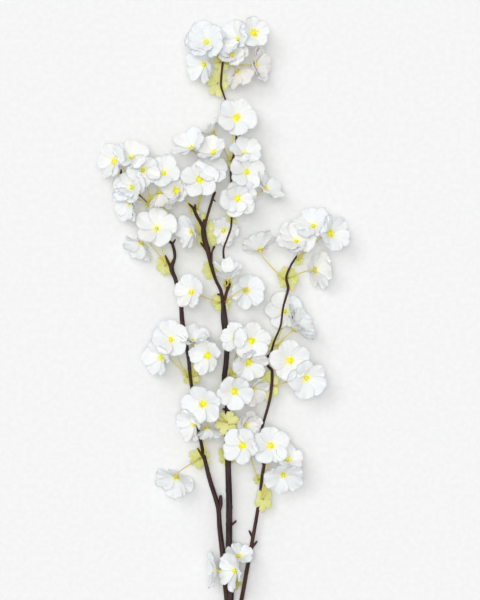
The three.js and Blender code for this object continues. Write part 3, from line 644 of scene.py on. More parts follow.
class Coat(NodeBoard):
    """The node tree of a material with a Principled shader."""

    def __init__(self, name: str) -> None:
        """Starts the material and wires its shader to its output.

        Args:
            name: Name of the material.
        """
        self.material = bpy.data.materials.new(name)
        self.material.use_nodes = True
        super().__init__(self.material.node_tree)
        self.tree.nodes.clear()
        self.shader = self.node("BsdfPrincipled")
        self.node("OutputMaterial", {"Surface": self.shader.outputs[0]})

    @cached_property
    def place(self) -> Wire:
        """A point's place on the piece, in metres."""
        return self.node("TexCoord").outputs["Object"]

    @cached_property
    def flow(self) -> tuple[Wire, Wire]:
        """A point's coordinates across or around the surface and along it."""
        split = self.node("SeparateXYZ", {0: self.node("UVMap", uv_map="flow").outputs[0]})
        return split.outputs[0], split.outputs[1]

    @cached_property
    def shade(self) -> Wire:
        """A point's own shade."""
        return self.node("Attribute", attribute_name="shade").outputs["Fac"]

    def weave(self, threads: float, creases: float) -> tuple[Wire, Wire]:
        """Places the weave.

        Args:
            threads: Scale of its threads.
            creases: Scale of its creases.

        Returns:
            Its height, and its mask of the thicker threads.
        """
        inputs = {"Place": self.place, "Threads": threads, "Creases": creases}
        made = self.node("Group", inputs, node_tree=EFFECTS.weave)
        return made.outputs["Height"], made.outputs["Thick"]

    def veins(self, count: float, sharpness: float) -> Wire:
        """Places the veins.

        Args:
            count: How many run side by side.
            sharpness: How thin they are.

        Returns:
            Their mask.
        """
        across, along = self.flow
        inputs = {"Across": across, "Along": along, "Count": count, "Sharpness": sharpness}
        return self.node("Group", inputs, node_tree=EFFECTS.veins).outputs["Mask"]

    def ridges(self, count: float, stretch: float) -> tuple[Wire, Wire]:
        """Places the ridges.

        Args:
            count: How closely they stand round the tube.
            stretch: How fast they change along it.

        Returns:
            Their height, and the mask of their crests.
        """
        around, along = self.flow
        inputs = {"Around": around, "Along": along, "Ridges": count, "Stretch": stretch}
        made = self.node("Group", inputs, node_tree=EFFECTS.ridges)
        return made.outputs["Height"], made.outputs["Crest"]

    def finish(
        self, colour: Wire, height: Wire, strength: float, depth: float, values: dict[str, object]
    ) -> bpy.types.Material:
        """Wires the shader's colour and bump, and sets its other sockets.

        Args:
            colour: Colour of the surface.
            height: Height of its relief.
            strength: Strength of the bump.
            depth: Depth of the bump, in metres.
            values: Values or sockets for the shader's other inputs.

        Returns:
            The finished material.
        """
        bump = self.node("Bump", {"Height": height, "Strength": strength, "Distance": depth})
        inputs = {"Base Color": colour, "Normal": bump.outputs[0], **values}
        for key, value in inputs.items():
            self.feed(self.shader.inputs[key], value)
        return self.material


@dataclass(frozen=True)
class PetalCloth:
    """White pressed cloth with a yellow throat, cooler or warmer by the petal, with painted shade: blue-grey
    along the edges of each petal, and pink on the flowers marked for it.
    """

    cool: Colour = (0.90, 0.94, 0.955, 1)
    warm: Colour = (0.975, 0.957, 0.92, 1)
    throat: Colour = (0.97, 0.94, 0.40, 1)
    vein: Colour = (0.80, 0.86, 0.91, 1)
    # Painted shade: the blue-grey that the petals' edges and sides turn.
    rim: Colour = (0.78, 0.85, 0.91, 1)
    # Painted shade: the pink that petals in shade take, for the flowers marked for it.
    painted_pink_shade: Colour = (0.95, 0.90, 0.865, 1)
    roughness: float = 0.72

    def material(self) -> bpy.types.Material:
        """Builds the material.

        Returns:
            The finished material.
        """
        coat = Coat("petal_cloth")
        across, along = coat.flow
        tint = coat.shade
        weave, thick = coat.weave(threads=1100.0, creases=140.0)
        veins = coat.veins(count=4.5, sharpness=7.0)
        white = coat.blend(tint, self.cool, self.warm)
        # Painted shade: petals marked above the pink threshold turn pink, as petals deep in shade look.
        base = coat.blend(coat.ramp(tint, PINK_SHADE_FROM, 1.0), white, self.painted_pink_shade)
        lined = coat.blend(coat.scaled(veins, 0.35), base, self.vein)
        mottled = coat.blend(coat.scaled(thick, 0.15), lined, self.warm)
        # Painted shade: the petal's edges and sides turn blue-grey, standing in for the shade and outlines at
        # its rim.
        side = coat.ramp(coat.maths("ABSOLUTE", across), 0.45, 0.5)
        edge = coat.maths("MAXIMUM", coat.ramp(along, 0.9, 1.0), coat.scaled(side, along))
        rim_shaded = coat.blend(coat.scaled(edge, 0.3), mottled, self.rim)
        glow = coat.maths("SUBTRACT", 1.0, coat.ramp(along, 0.0, 0.3))
        colour = coat.blend(coat.scaled(glow, 0.8), rim_shaded, self.throat)
        height = coat.maths("ADD", coat.scaled(veins, -0.6), weave)
        values = {
            "Roughness": self.roughness,
            "Subsurface Weight": 0.1,
            "Subsurface Radius": (1.0, 1.0, 0.9),
            "Subsurface Scale": 0.001,
            "Sheen Weight": 0.15,
        }
        return coat.finish(colour, height, strength=0.35, depth=0.0004, values=values)


@dataclass(frozen=True)
class LeafCloth:
    """Yellow-green pressed cloth, golden by the leaf and towards its foot, with pale veins. The gold by the
    leaf is partly its own colour and partly painted light on leaves under flowers.
    """

    green: Colour = (0.63, 0.66, 0.18, 1)
    gold: Colour = (0.99, 0.965, 0.42, 1)
    vein: Colour = (0.84, 0.86, 0.45, 1)
    roughness: float = 0.68

    def material(self) -> bpy.types.Material:
        """Builds the material.

        Returns:
            The finished material.
        """
        coat = Coat("leaf_cloth")
        weave, thick = coat.weave(threads=700.0, creases=160.0)
        veins = coat.veins(count=3.0, sharpness=9.0)
        # Partly own colour, partly painted light: the gold share lightens leaves that flowers shade.
        base = coat.blend(coat.shade, self.green, self.gold)
        mottled = coat.blend(coat.scaled(thick, 0.4), base, self.gold)
        colour = coat.blend(coat.scaled(veins, 0.6), mottled, self.vein)
        height = coat.maths("ADD", coat.scaled(veins, -0.8), weave)
        values = {
            "Roughness": self.roughness,
            "Subsurface Weight": 0.15,
            "Subsurface Radius": (0.9, 1.0, 0.4),
            "Subsurface Scale": 0.001,
        }
        return coat.finish(colour, height, strength=0.5, depth=0.0005, values=values)


@dataclass(frozen=True)
class StalkPlastic:
    """Thin moulded stalks and calyxes, olive or yellower by the stalk."""

    olive: Colour = (0.50, 0.42, 0.08, 1)
    yellow: Colour = (0.86, 0.75, 0.17, 1)
    roughness: float = 0.5

    def material(self) -> bpy.types.Material:
        """Builds the material.

        Returns:
            The finished material.
        """
        coat = Coat("stalk_plastic")
        height, crest = coat.ridges(count=4.0, stretch=0.3)
        base = coat.blend(coat.shade, self.olive, self.yellow)
        colour = coat.blend(coat.scaled(crest, 0.35), base, self.yellow)
        values = {"Roughness": self.roughness}
        return coat.finish(colour, height, strength=0.3, depth=0.0004, values=values)


@dataclass(frozen=True)
class StamenDust:
    """Saturated yellow filaments and anthers with a grainy coat of pollen."""

    yellow: Colour = (1.0, 0.95, 0.0, 1)
    amber: Colour = (1.0, 0.84, 0.0, 1)
    roughness: float = 0.6

    def material(self) -> bpy.types.Material:
        """Builds the material.

        Returns:
            The finished material.
        """
        coat = Coat("stamen_dust")
        grain = coat.noise(coat.place, 1600.0, 2.0)
        share = coat.scaled(coat.ramp(grain, 0.4, 0.7), coat.shade)
        colour = coat.blend(share, self.yellow, self.amber)
        values = {"Roughness": self.roughness}
        return coat.finish(colour, grain, strength=0.4, depth=0.0003, values=values)


@dataclass(frozen=True)
class BarkPlastic:
    """Dark purple-brown moulded bark, redder on thin branches and paler along its ridges."""

    dark: Colour = (0.008, 0.005, 0.006, 1)
    brown: Colour = (0.030, 0.014, 0.016, 1)
    thin: Colour = (0.085, 0.027, 0.013, 1)
    worn: Colour = (0.12, 0.065, 0.065, 1)

    def material(self) -> bpy.types.Material:
        """Builds the material.

        Returns:
            The finished material.
        """
        coat = Coat("bark_plastic")
        height, crest = coat.ridges(count=5.0, stretch=0.09)
        raised = coat.blend(coat.shade, self.brown, self.thin)
        base = coat.blend(coat.ramp(height, 0.45, 0.72), self.dark, raised)
        colour = coat.blend(coat.scaled(crest, 0.45), base, self.worn)
        rough = coat.node("MapRange", {"Value": height, "To Min": 0.42, "To Max": 0.68})
        values = {"Roughness": rough.outputs[0], "Specular IOR Level": 0.3}
        return coat.finish(colour, height, strength=0.8, depth=0.001, values=values)


@dataclass(frozen=True)
class FloorPaint:
    """Matt white paint, faintly rolled."""

    low: Colour = (0.885, 0.885, 0.89, 1)
    high: Colour = (0.92, 0.92, 0.925, 1)
    roughness: float = 0.9

    def material(self) -> bpy.types.Material:
        """Builds the material.

        Returns:
            The finished material.
        """
        coat = Coat("floor_paint")
        height = coat.noise(coat.place, 160.0, 3.0)
        tone = coat.blend(coat.ramp(height, 0.3, 0.75), self.low, self.high)
        values = {"Roughness": self.roughness, "Specular IOR Level": 0.1}
        return coat.finish(tone, height, strength=0.25, depth=0.001, values=values)


@dataclass(frozen=True)
class Finishes:
    """The materials that the pieces are made of."""

    petal: bpy.types.Material
    leaf: bpy.types.Material
    stalk: bpy.types.Material
    stamen: bpy.types.Material
    bark: bpy.types.Material

    @classmethod
    def mixed(cls) -> "Finishes":
        """Builds every material once.

        Returns:
            The set of them.
        """
        return cls(
            petal=PetalCloth().material(),
            leaf=LeafCloth().material(),
            stalk=StalkPlastic().material(),
            stamen=StamenDust().material(),
            bark=BarkPlastic().material(),
        )


def dress(piece: bpy.types.Object, node: str) -> None:
    """Lets a piece ride with the spray and stand for its CAD node.

    Args:
        piece: The new piece.
        node: Node that it replaces.
    """
    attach(piece, "root")
    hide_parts(node)
    log.info("%s: %d faces", piece.name, len(piece.data.polygons))


@dataclass
class Wood:
    """The branching stem: ridged, knotted branches on one trunk."""

    ring_step: float = 1.6
    sides: int = 18
    thin_sides: int = 12
    thin_radius: float = 1.6
    ridge_depth: float = 0.07
    knot_depth: float = 0.16
    flat: float = 0.94  # share of the radius that a branch keeps off the surface
    tip: tuple[float, float] = (0.9, 0.6)  # shares of the radius at a branch's last rings

    def _run(self, stations: Stations) -> tuple[np.ndarray, np.ndarray]:
        """Rounds off a row of stations.

        Args:
            stations: Rows of x, y, height and radius.

        Returns:
            The places along the branch, and the radius at each.
        """
        rows = np.array(stations, float)
        padded = np.vstack([2 * rows[0] - rows[1], rows, 2 * rows[-1] - rows[-2]])
        made = [rows[:1]]
        for k in range(1, len(rows)):
            before, start, end, after = padded[k - 1 : k + 3]
            gap = np.linalg.norm((end - start)[:3])
            steps = max(2, round(gap / self.ring_step))
            share = (np.arange(1, steps + 1) / steps)[:, None]
            back, onward = (max(np.linalg.norm(way[:3]), 1e-6) for way in (start - before, after - end))
            leave = gap * unit(unit(end - start) + unit(start - before)) if k > 1 else end - start
            arrive = gap * unit(unit(after - end) + unit(end - start)) if k < len(rows) - 1 else end - start
            leave, arrive = leave * min(1, back / gap), arrive * min(1, onward / gap)
            # A cubic from start to end that leaves and arrives with these slopes.
            curve = (2 * share**3 - 3 * share**2 + 1) * start + (share**3 - 2 * share**2 + share) * leave
            curve = curve + (3 * share**2 - 2 * share**3) * end + (share**3 - share**2) * arrive
            curve[:, 3] = start[3] + (end[3] - start[3]) * smooth(0, 1, share[:, 0])
            made.append(curve)
        whole = np.vstack(made)
        return whole[:, :3], whole[:, 3]

    def _relief(self, number: int, radius: float) -> Relief:
        """Gives the ridges and knots of one branch.

        Args:
            number: Number of the branch.
            radius: Its usual radius.

        Returns:
            A function of angle and length that gives a share of the radius.
        """
        ridges = max(3, round(radius * 1.7))
        start = phase(number, 1, 3)

        def relief(angle: np.ndarray, length: np.ndarray) -> np.ndarray:
            """Ridges that wander round the branch, and knots along it.

            Args:
                angle: Angles round the branch.
                length: Lengths along it.

            Returns:
                The share to add to the radius at each.
            """
            wander = 0.9 * np.sin(length * 0.021 + start) + 0.4 * np.sin(length * 0.067 + 2 * start)
            ridge = np.cos(ridges * angle + wander) + 0.5 * np.cos((ridges + 2) * angle - 1.4 * wander)
            knot = np.maximum(0, np.cos(angle - length * 0.13 - start)) ** 6
            knot = knot * np.maximum(0, np.sin(length * 0.31 + start)) ** 8
            return self.ridge_depth * ridge + self.knot_depth * knot

        return relief

    def build(self, finishes: Finishes) -> None:
        """Builds the stem.

        Args:
            finishes: The materials.
        """
        sketch = Sketch()
        for number, stations in enumerate(BRANCHES):
            path, radii = self._run(stations)
            usual = float(np.median(radii))
            ends = np.ones(len(path))
            if number > 0:
                ends[-2:] = self.tip
            path[:, 2] = np.maximum(path[:, 2], radii * self.flat)
            sides = self.sides if usual > self.thin_radius else self.thin_sides
            shade = 1 - float(smooth(1.2, 3.0, usual))
            sketch.tube(path, radii * ends, sides, shade, 0, relief=self._relief(number, usual))
        dress(sketch.build("stem", [finishes.bark]), "wood")


@dataclass(frozen=True)
class StemSeat:
    """A point of the wood, with its direction and its radius there."""

    foot: np.ndarray
    axis: np.ndarray
    radius: float

    @classmethod
    def under(cls, x: float, y: float) -> "StemSeat":
        """Finds the point of any branch nearest to a place in plan.

        Args:
            x: Place across the drawing.
            y: Place up the drawing.

        Returns:
            The nearest point.
        """
        best: tuple[float, StemSeat] | None = None
        for row in BRANCHES:
            for first, last in zip(row, row[1:]):
                start, step = np.array(first[:3]), np.array(last[:3]) - np.array(first[:3])
                share = ((x - start[0]) * step[0] + (y - start[1]) * step[1]) / (step[0] ** 2 + step[1] ** 2)
                share = min(max(share, 0.0), 1.0)
                foot = start + step * share
                distance = math.hypot(foot[0] - x, foot[1] - y)
                if best is None or distance < best[0]:
                    best = (distance, cls(foot, unit(step), first[3] + (last[3] - first[3]) * share))
        return best[1]


@dataclass
class Leaf:
    """A lobed cloth leaf on its stem, with its flower stalks and calyxes."""

    name: str
    number: int
    blade: float = 0.5
    blade_gap: float = 0.75  # from the bark to the middle of the blade
    bend: float = 1.8
    lobes: int = 6
    cleft: float = 0.62
    lobe_change: float = 0.16
    teeth: float = 0.045
    pleat: float = 0.35
    ripple: float = 0.28
    droop: float = 0.5
    rings: int = 12
    spokes: int = 120
    stalk_radius: float = 0.8
    stalk_steps: int = 19
    stalk_sides: int = 10
    stalk_room: float = 0.8  # share of the blade's reach that a stalk may stand on
    clear_over: float = 2.0  # from the stem's line to a stalk's foot, on a leaf over it
    clear_under: float = 2.25  # from the bark, on a leaf under it
    calyx_length: float = 4.6
    calyx_drop: float = 0.2  # from the flower's seat to the calyx's rim
    calyx_cup: Rows = ((1.2, 1.1), (2.4, 1.7), (3.6, 2.25), (4.4, 2.4))  # height and radius
    sepals: int = 5
    sepal_root: float = 1.0
    sepal_reach: float = 5.2
    sepal_width: float = 1.656
    sepal_cloth: float = 0.35
    lowest: float = 3.0

    def __post_init__(self) -> None:
        """Works out where the leaf lies on its stem."""
        (x, y), side, self.reach, self.length, self.turn = LEAVES[self.name]
        self.side = Side(side)
        seat = StemSeat.under(x, y)
        self.axis = seat.axis
        self.across = unit(np.array([-seat.axis[1], seat.axis[0], 0.0]))
        self.up = np.cross(self.axis, self.across)
        self.drift = (x - seat.foot[0]) * self.across[0] + (y - seat.foot[1]) * self.across[1]
        swell = seat.radius
        for share in (-0.9, -0.6, -0.3, 0.3, 0.6, 0.9):
            there = seat.foot + self.axis * share * self.length
            beside = StemSeat.under(there[0], there[1])
            swell = max(swell, self.side.value * float((beside.foot - seat.foot) @ self.up) + beside.radius)
        lift = self.side.value * (swell + self.blade_gap)
        self.middle = seat.foot + self.across * self.drift + self.up * lift
        self.clear = self.clear_over if self.side is Side.OVER else seat.radius + self.clear_under

    def bent(self, distance: np.ndarray | float) -> np.ndarray | float:
        """Gives the blade's height at a distance across from its stem."""
        return -self.side.value * self.bend * np.minimum(1, (distance / self.reach) ** 2)

    def _outline(self, angle: np.ndarray) -> np.ndarray:
        """Gives the blade's edge, as a share of the leaf's reach.

        Args:
            angle: Angles about the blade's middle, in degrees from its stem.

        Returns:
            The share at each angle.
        """
        step = 360 / self.lobes
        lobe = np.floor((angle - self.turn) / step + 0.5)
        off = (angle - self.turn - lobe * step) / (step / 2)
        sizes = np.array([1 + change(self.number, k, 7, self.lobe_change) for k in range(self.lobes)])
        tip = sizes[lobe.astype(int) % self.lobes]
        body = self.cleft + (tip - self.cleft) * (1 - np.abs(off) ** 2.0) ** 0.75
        return body + self.teeth * np.cos(off * 3 * math.pi) * (1 - off**4)

    def _draw_blade(self, sketch: Sketch) -> None:
        """Adds the blade to a sketch.

        Args:
            sketch: The sketch.
        """
        angle = np.arange(self.spokes) * 360 / self.spokes
        shares = ((np.arange(self.rings) + 1) / self.rings)[:, None]
        reach = shares * self._outline(angle)[None, :]
        turn = np.radians(angle)[None, :]
        sideways = self.reach * reach * np.sin(turn)
        along = self.length * reach * np.cos(turn)
        wave = np.radians((angle - self.turn) * self.lobes)[None, :]
        fold = self.pleat * shares * np.cos(wave)
        ripple = self.ripple * shares**2 * np.cos(3 * wave + 1 + self.number)
        droop = self.droop * shares**3 * np.cos(2 * turn + 2.1 * self.number) * self.side.value
        lift = self.bent(sideways) + fold + ripple - droop
        middle = self.middle + sideways[..., None] * self.across + along[..., None] * self.axis
        middle = middle + lift[..., None] * self.up
        lobe_across = ((angle - self.turn) / (360 / self.lobes) + 0.5) % 1 - 0.5
        flow = paired(lobe_across[None, :] * 2, shares)
        # The leaf's gold: partly its own, partly painted light lifting leaves shaded by flowers over them.
        gold = min(1.0, GOLD_AND_PAINTED_LIGHT.get(self.name, PLAIN_GOLD) + 0.25 * scatter(self.number, 3, 11))
        shade = gold * (1 - shares * 0.3) * np.ones_like(reach)
        half = self.up * self.blade / 2
        over = sketch.add(middle + half, flow, shade)
        under = sketch.add(middle - half, flow, shade)
        sketch.quads(over, 0, around=True, back=True)
        sketch.quads(under, 0, around=True)
        sketch.quads(np.stack([over[-1], under[-1]]), 0, around=True, back=True)
        sketch.fan(over[0], int(sketch.add(self.middle + half, flow[0, 0], gold)), 0, back=True)
        sketch.fan(under[0], int(sketch.add(self.middle - half, flow[0, 0], gold)), 0)

    def _draw_stalk(self, sketch: Sketch, row: FlowerRow, number: int) -> None:
        """Adds a stalk and its calyx to a sketch.

        Args:
            sketch: The sketch.
            row: The flower that it carries.
            number: Number of that flower.
        """
        seat, azimuth, tilt = row[2:5]
        face = tilting(azimuth, tilt)[:, 2]
        rim = np.array(seat) - face * self.calyx_drop
        neck = rim - face * self.calyx_length
        foot = self.middle - self.across * self.drift
        wanted = math.copysign(1, float((neck - foot) @ self.across))
        room = self.stalk_room * self.reach + wanted * self.drift
        lean = (wanted if room > self.clear + 1 else -wanted) * self.clear
        root = foot + self.across * lean + self.up * self.bent(lean - self.drift)
        span = float(np.linalg.norm(neck - root))
        # The stalk leaves the blade upright, more so the higher its flower stands.
        off = self.up * (1 if neck[2] > root[2] - 3 else -1)
        first = min(max(2 + 0.9 * abs(neck[2] - root[2]), span * 0.15), span * 0.6)
        leave = root + off * first
        arrive = neck - face * min(span * 0.36, 9)
        leave[2], arrive[2] = max(leave[2], self.lowest), max(arrive[2], self.lowest)
        t = np.linspace(0, 1, self.stalk_steps)[:, None]
        path = (1 - t) ** 3 * root + 3 * t * (1 - t) ** 2 * leave + 3 * t**2 * (1 - t) * arrive + t**3 * neck
        radii = self.stalk_radius * (1.15 - 0.3 * t[:, 0] + 0.5 * (1 - t[:, 0]) ** 12)
        cup = np.array(self.calyx_cup)
        path = np.vstack([path, neck + face * cup[:, :1]])
        radii = np.concatenate([radii, cup[:, 1]])
        shade = 0.35 + 0.5 * scatter(number, 5, 2)
        start = sketch.tube(path, radii, self.stalk_sides, shade, 1, start=off)
        self._draw_sepals(sketch, rim, face, start, number)

    def _draw_sepals(
        self, sketch: Sketch, rim: np.ndarray, face: np.ndarray, start: np.ndarray, number: int
    ) -> None:
        """Adds the pointed sepals under a flower.

        Args:
            sketch: The sketch.
            rim: Middle of the calyx's rim.
            face: Way the flower faces.
            start: Way the first sepal points.
            number: Number of the flower.
        """
        out = unit(start - face * (start @ face))
        beside = np.cross(face, out)
        shares = np.linspace(0, 1, 7)[:, None]
        sides = np.linspace(-1, 1, 5)[None, :]
        reach = self.sepal_root + shares * (self.sepal_reach - self.sepal_root)
        width = self.sepal_width * np.sin(math.pi * (0.28 + 0.72 * shares)) ** 0.9 * sides
        drop = 0.9 - 0.8 * shares + 0.5 * shares**2 - 0.25 * sides**2
        for k in range(self.sepals):
            turn = (k + 0.1 * scatter(number, k, 13)) * 2 * math.pi / self.sepals
            way = out * math.cos(turn) + beside * math.sin(turn)
            middle = rim + reach[..., None] * way + width[..., None] * np.cross(face, way)
            middle = middle - drop[..., None] * face
            flow = paired(sides * 0.2, shares * 3)
            sketch.sheet(middle, self.sepal_cloth, flow, 0.6 + 0.4 * shares, 1)

    def build(self, finishes: Finishes) -> None:
        """Builds the leaf with its stalks and calyxes.

        Args:
            finishes: The materials.
        """
        sketch = Sketch()
        self._draw_blade(sketch)
        for number, row in enumerate(FLOWERS):
            if row[0] == self.name:
                self._draw_stalk(sketch, row, number)
        piece = sketch.build(f"dressed_leaf_{self.name}", [finishes.leaf, finishes.stalk])
        dress(piece, f"leaf_{self.name}")


@dataclass
class Flower:
    """An open blossom: five round petals about a throat with stamens."""

    number: int
    petals: int = 5
    cloth: float = 0.34
    hub_radius: float = 2.6
    hub_height: float = 0.55
    foot_share: float = 0.8  # of the hub's radius, where a petal begins
    claw_share: float = 0.6  # of the hub's radius, half a petal's width there
    widest_at: float = 0.6
    half_width: float = 0.475  # share of the radius, at most
    span: float = 40.0  # degrees from the middle to the edge, at most
    growth: float = 1.07  # beyond the solid's petal length
    inner_share: float = 0.82  # of the outer petals' length
    inner_lift: float = 0.5
    double_share: float = 0.36  # of the flowers, which have a second layer
    twist: float = 0.2
    cup_change: float = 9.0
    ruffles: Rows = ((0.04, 3, 2.6, 5), (0.022, 5, 5.3, 9), (0.012, 1.5, 6.6, 14))  # as _waves says
    edge_wave: float = 0.035
    notch: float = 0.05
    curl: float = 0.16
    lowest: float = 0.2  # where a petal is pressed flat on the surface
    steps_along: int = 14
    steps_across: int = 21
    stamens: int = 16
    thin: tuple[float, float] = (0.42, 0.62)  # least and most fullness of a thin tuft
    stamen_height: float = 3.3
    stamen_growth: float = 2.4  # of the tallest
    stamen_lean: tuple[float, float, float] = (6, 48, 8)  # degrees: inmost, outwards, by chance
    stamen_ring: float = 1.1  # radius that they stand on
    stamen_foot: float = 0.9
    # Radius and height of the throat, from its foot.
    throat: Rows = ((0.6, 0.0), (2.4, 0.05), (2.8, 1.0), (2.9, 2.2), (2.2, 3.2), (1.0, 3.7))
    throat_sides: int = 14
    throat_top: float = 3.8
    filament: tuple[float, ...] = (0.26, 0.22, 0.2, 0.19, 0.18)  # radii from foot to tip
    anther: Rows = ((0.05, 0.36), (0.35, 0.7), (0.8, 0.74), (1.2, 0.45))  # length and radius
    anther_sides: int = 6
    golden_angle: float = 2.399963  # in radians, from one stamen to the next

    def __post_init__(self) -> None:
        """Reads the flower's row and works out how it is placed and how full it is."""
        seat, azimuth, tilt, self.radius, self.turn, self.cup = FLOWERS[self.number][2:]
        self.seat = np.array(seat, float)
        self.matrix = tilting(azimuth, tilt)
        least, most = self.thin
        chance = scatter(self.number, 5, 26)
        self.fullness = 1.0 if self.number in FULL else least + (most - least) * chance

    def placed(self, points: np.ndarray) -> np.ndarray:
        """Moves points from the flower's own frame to the drawing."""
        return points @ self.matrix.T + self.seat

    def _tint(self, k: int) -> float:
        """Gives the shade of a petal.

        Args:
            k: Number of the petal.

        Returns:
            Its shade, from cool at 0 to warm, and above the pink threshold to a pink that is painted shade.
        """
        n = self.number
        # The marked flowers take the pink painted shade.
        if n in PINK_SHADE_FLOWERS:
            return PINK_SHADE_FROM + (1 - PINK_SHADE_FROM) * scatter(n, k, 15)
        tint = min(PINK_SHADE_FROM, max(0.0, scatter(n, k, 8) * 0.7 + scatter(n, 9, 8) * 0.5 - 0.2))
        return tint * 0.3 if n in CHILLED else tint

    def _edge(self, k: int, s: np.ndarray) -> np.ndarray:
        """Gives the share of a petal's length at which it ends, waved and notched.

        Args:
            k: Number of the petal.
            s: Shares across the petal, from -1 to 1.

        Returns:
            The share of its length at each.
        """
        n = self.number
        bow = np.cos(math.pi / 2 * s)
        arc = self.widest_at + (self.growth - self.widest_at) * bow
        arc = arc + self.edge_wave * np.sin(4.1 * s + phase(n, k, 4)) * bow
        return arc - self.notch * scatter(n, k, 11) * np.exp(-((s - change(n, k, 12, 0.5)) ** 2) / 0.03)

    def _waves(self, k: int, t: np.ndarray, s: np.ndarray) -> np.ndarray:
        """Gives the ruffles of a petal less its curl, as a share of its size.

        A ruffle has a depth, a power by which it grows towards the petal's end, a
        number of half waves across, and the salt of its phase.

        Args:
            k: Number of the petal.
            t: Shares along the petal, from 0 to 1.
            s: Shares across the petal, from -1 to 1.

        Returns:
            The height at each.
        """
        n = self.number
        height = -change(n, k, 6, self.curl) * t**4
        for depth, power, waves, salt in self.ruffles:
            height = height + depth * t**power * np.sin(waves * math.pi * s + phase(n, k, salt))
        return height

    def _draw_petal(self, sketch: Sketch, k: int, inner: bool = False) -> None:
        """Adds a petal to a sketch.

        Args:
            sketch: The sketch.
            k: Number of the petal.
            inner: Whether it belongs to the smaller layer on top.
        """
        n = self.number
        size = self.inner_share * (1 + change(n, k, 31, 0.24)) if inner else 1.0
        angle = math.radians(self.turn + 360 / self.petals * k + change(n, k, 1, 10))
        length = (self.radius - self.hub_radius) * (1 + change(n, k, 2, 0.12)) * size
        rise = self.cup + change(n, k, 3, 10)
        if inner:
            angle += math.radians(180 / self.petals + change(n, k, 32, 20))
            rise += 5 + 8 * scatter(n, k, 33)
            k += self.petals
        shares = np.linspace(0, self.growth + 0.04, 60)
        slope = np.radians(rise + self.cup_change - 2 * self.cup_change * smooth(0.35, 0.85, shares))
        step = shares[1] * length
        reach_by, climb_by = (
            np.concatenate([[0], np.cumsum(way(slope[:-1]) * step)]) for way in (np.cos, np.sin)
        )
        base = self.hub_radius * self.foot_share
        span = base + self.widest_at * length * math.cos(math.radians(rise + self.cup_change))
        wide = min(self.half_width * self.radius * size, span * math.tan(math.radians(self.span)))
        wide *= 1 + change(n, k, 10, 0.16)

        t = np.linspace(0, 1, self.steps_along)[:, None]
        s = np.linspace(-1, 1, self.steps_across)[None, :]
        share = t * self._edge(k, s)
        claw = self.hub_radius * self.claw_share
        side = np.sin(math.pi / 2 * s) * (claw + (wide - claw) * np.sin(math.pi / 2 * t) ** 1.15)
        reach = base + np.interp(share, shares, reach_by)
        hollow = (0.02 + 0.10 * scatter(n, k, 7)) * (side / wide) ** 2 * (1 - 0.3 * t)
        height = self.hub_height + np.interp(share, shares, climb_by) + (self.inner_lift if inner else 0.0)
        height = height + (hollow + self._waves(k, t, s)) * size * self.radius
        height = height + side * (self.twist + change(n, k, 13, 0.2))
        plan = reach[..., None] * np.array([math.cos(angle), math.sin(angle)])
        plan = plan + side[..., None] * np.array([-math.sin(angle), math.cos(angle)])
        middle = self.placed(np.concatenate([plan, height[..., None]], axis=-1))
        middle[..., 2] = np.maximum(middle[..., 2], self.lowest)
        sketch.sheet(middle, self.cloth, paired(s * 0.5, t), self._tint(k), 0)

    def _draw_throat(self, sketch: Sketch) -> None:
        """Adds the small cup that the petals grow from.

        Args:
            sketch: The sketch.
        """
        profile = np.array(self.throat)[:, None]
        turn = np.linspace(0, 2 * math.pi, self.throat_sides + 1)[:-1]
        plan = profile[..., :1] * self.fullness * np.stack([np.cos(turn), np.sin(turn)], axis=-1)[None]
        height = np.broadcast_to(profile[..., 1:], plan.shape[:2] + (1,))
        flow = np.zeros(2)
        grid = sketch.add(self.placed(np.concatenate([plan, height], axis=-1)), flow, 0.0)
        foot, top = (self.placed(np.array([0.0, 0.0, z])) for z in (0.0, self.throat_top))
        sketch.quads(grid, 1, around=True)
        sketch.fan(grid[0], int(sketch.add(foot, flow, 0.4)), 1, back=True)
        sketch.fan(grid[-1], int(sketch.add(top, flow, 0.0)), 1)

    def _draw_stamen(self, sketch: Sketch, k: int) -> None:
        """Adds a filament with its anther.

        Args:
            sketch: The sketch.
            k: Number of the stamen.
        """
        n = self.number
        turn = self.golden_angle * k + phase(n, k, 21)
        inmost, outwards, chance = self.stamen_lean
        outwards *= math.sqrt((k + 0.5) / self.stamens)
        lean = math.radians(inmost + outwards + chance * scatter(n, k, 22))
        size = (0.74 + 0.32 * scatter(n, 5, 25)) * (0.5 + 0.5 * self.fullness)
        tall = (self.stamen_height + self.stamen_growth * scatter(n, k, 23) ** 3) * size
        way = np.array([math.cos(turn), math.sin(turn), 0.0])
        up = np.array([0.0, 0.0, 1.0])
        t = np.linspace(0, 1, len(self.filament))[:, None]
        foot = way * self.stamen_ring * self.fullness + up * self.stamen_foot
        path = foot + way * tall * math.sin(lean) * t**0.8 + up * tall * math.cos(lean) * t
        ball = np.array(self.anther) * (0.3 + 0.7 * size)
        path = np.vstack([path, path[-1] + unit(path[-1] - path[-2]) * ball[:, :1]])
        radii = np.concatenate([self.filament, ball[:, 1]])
        sketch.tube(self.placed(path), radii, self.anther_sides, scatter(n, k, 24), 1)

    def draw(self, sketch: Sketch) -> None:
        """Adds the whole flower to a sketch.

        Args:
            sketch: The sketch.
        """
        layers = 2 if scatter(self.number, 7, 30) < self.double_share else 1
        for layer in range(layers):
            for k in range(self.petals):
                self._draw_petal(sketch, k, inner=layer == 1)
        self._draw_throat(sketch)
        for k in range(round(self.stamens * self.fullness)):
            self._draw_stamen(sketch, k)


@dataclass
class Bunch:
    """The flowers of one node, which lean on each other."""

    name: str

    def build(self, finishes: Finishes) -> None:
        """Builds the bunch.

        Args:
            finishes: The materials.
        """
        sketch = Sketch()
        for number, row in enumerate(FLOWERS):
            if row[1] == self.name:
                Flower(number).draw(sketch)
        piece = sketch.build(f"dressed_flowers_{self.name}", [finishes.petal, finishes.stamen])
        dress(piece, f"flowers_{self.name}")


